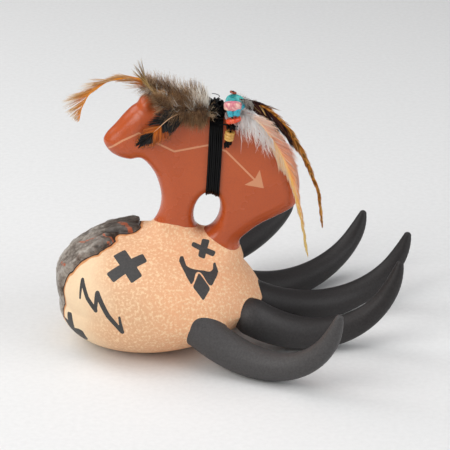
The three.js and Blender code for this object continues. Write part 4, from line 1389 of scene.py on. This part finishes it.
def make_striped_hackle():
    """Short barbs above the quill, long ones below it, and a little fluff at the root."""
    feather = Feather("striped_hackle", (0.1, -1, 0.3), 0.4, 9)
    outer = [(0.05, 4), (0.3, 7), (0.6, 7), (1, 3.5)]
    inner = [(0.05, 10), (0.2, 17), (0.36, 15), (0.5, 8), (1, 3.5)]
    feather.grow(300, 0.12, 1, outer, [(0, 7), (0.4, 10), (1, 8)], (180, 12), 0.3, -2, 0.12, groups=2)
    feather.grow(620, 0.05, 1, inner, [(0, 46), (0.2, 34), (0.36, 20), (0.5, 13), (1, 8)], (-8, 10), 0.3, -8,
                 0.15, groups=5, side=OTHER_VANE)
    feather.grow(200, 0.08, 0.16, [(0, 4), (0.2, 5)], [(0, 60), (0.2, 50)], (0, 100), 0.14, 10, 1.0, 0.1,
                 side=FLUFF)
    feather.piece(feather_finish("striped_feather", striped_colour, 0.3, 0.05), "striped_feather")


def make_small_brown():
    """A few spikes on both sides of a thin quill, and fluff at the root."""
    feather = Feather("small_brown", (0, -1, 0.4), 0.3, 10)
    feather.grow(26, 0.25, 0.6, [(0, 7), (1, 7)], [(0, 9), (1, 6)], (0, 20), 0.2, -2, 0.1)
    feather.grow(26, 0.2, 0.8, [(0, 8), (1, 6)], [(0, 7), (1, 3)], (180, 20), 0.2, -2, 0.1)
    feather.grow(240, 0, 0.3, [(0, 4), (0.3, 4)], [(0, 60), (0.3, 40)], (0, 180), 0.13, 10, 1.1, 0.1,
                 side=FLUFF)
    feather.piece(feather_finish("brown_feather", small_brown_colour), "brown_feather")


make_front_hackle()
make_spotted()
make_brown_down()
make_white_hackle()
make_striped_hackle()
make_small_brown()


# The floor and the lights

FLOOR_REACH = 4.0
LAMPS_AIM = np.array([0.02, 0, 0.05])
LAMPS = [  # name, place, size, watts, colour
    ("left", (-0.85, -0.62, 0.8), 0.9, 9.8, (1.0, 0.99, 0.97)),
    ("front", (-0.35, -1.1, 0.45), 1.2, 1.6, (1.0, 1.0, 1.0)),
    ("top", (0.0, 0.0, 1.2), 1.2, 6.6, (1.0, 1.0, 1.0)),
    ("right", (0.95, -0.3, 0.5), 0.8, 5.6, (0.98, 0.99, 1.0)),
    ("behind", (-0.6, 0.4, 0.75), 0.7, 3.4, (1.0, 1.0, 1.0)),
]


def make_stage():
    """A sheet of pale paper, five soft lamps and a dim even light from all round."""
    floor = bpy.data.meshes.new("floor")
    corners = [(FLOOR_REACH * x, FLOOR_REACH * y, 0) for x, y in ((-1, -1), (1, -1), (1, 1), (-1, 1))]
    floor.from_pydata(corners, [], [(0, 1, 2, 3)])
    paper = Finish("pale_paper", Roughness=0.7, Specular_IOR_Level=0.2)
    colour = paper.ramp(paper.noise(400, 3), [(0.3, rgb(226, 226, 226)), (0.7, rgb(231, 231, 231))])
    floor.materials.append(paper.finish(Base_Color=colour))
    sheet = bpy.data.objects.new("floor", floor)
    bpy.context.collection.objects.link(sheet)

    for name, place, size, watts, colour in LAMPS:
        data = bpy.data.lights.new(name, "AREA")
        data.size, data.energy, data.color = size, watts, colour
        light = bpy.data.objects.new(name, data)
        light.location = place
        x, y, z = np.array(place) - LAMPS_AIM
        light.rotation_euler = (math.atan2(math.hypot(x, y), z), 0, math.atan2(x, -y))
        bpy.context.collection.objects.link(light)

    world = bpy.data.worlds.new("studio")
    world.use_nodes = True
    background = world.node_tree.nodes["Background"]
    background.inputs["Color"].default_value = (0.8, 0.82, 0.86, 1)
    background.inputs["Strength"].default_value = 0.12
    bpy.context.scene.world = world
    bpy.context.scene.view_settings.view_transform = "Standard"


make_stage()
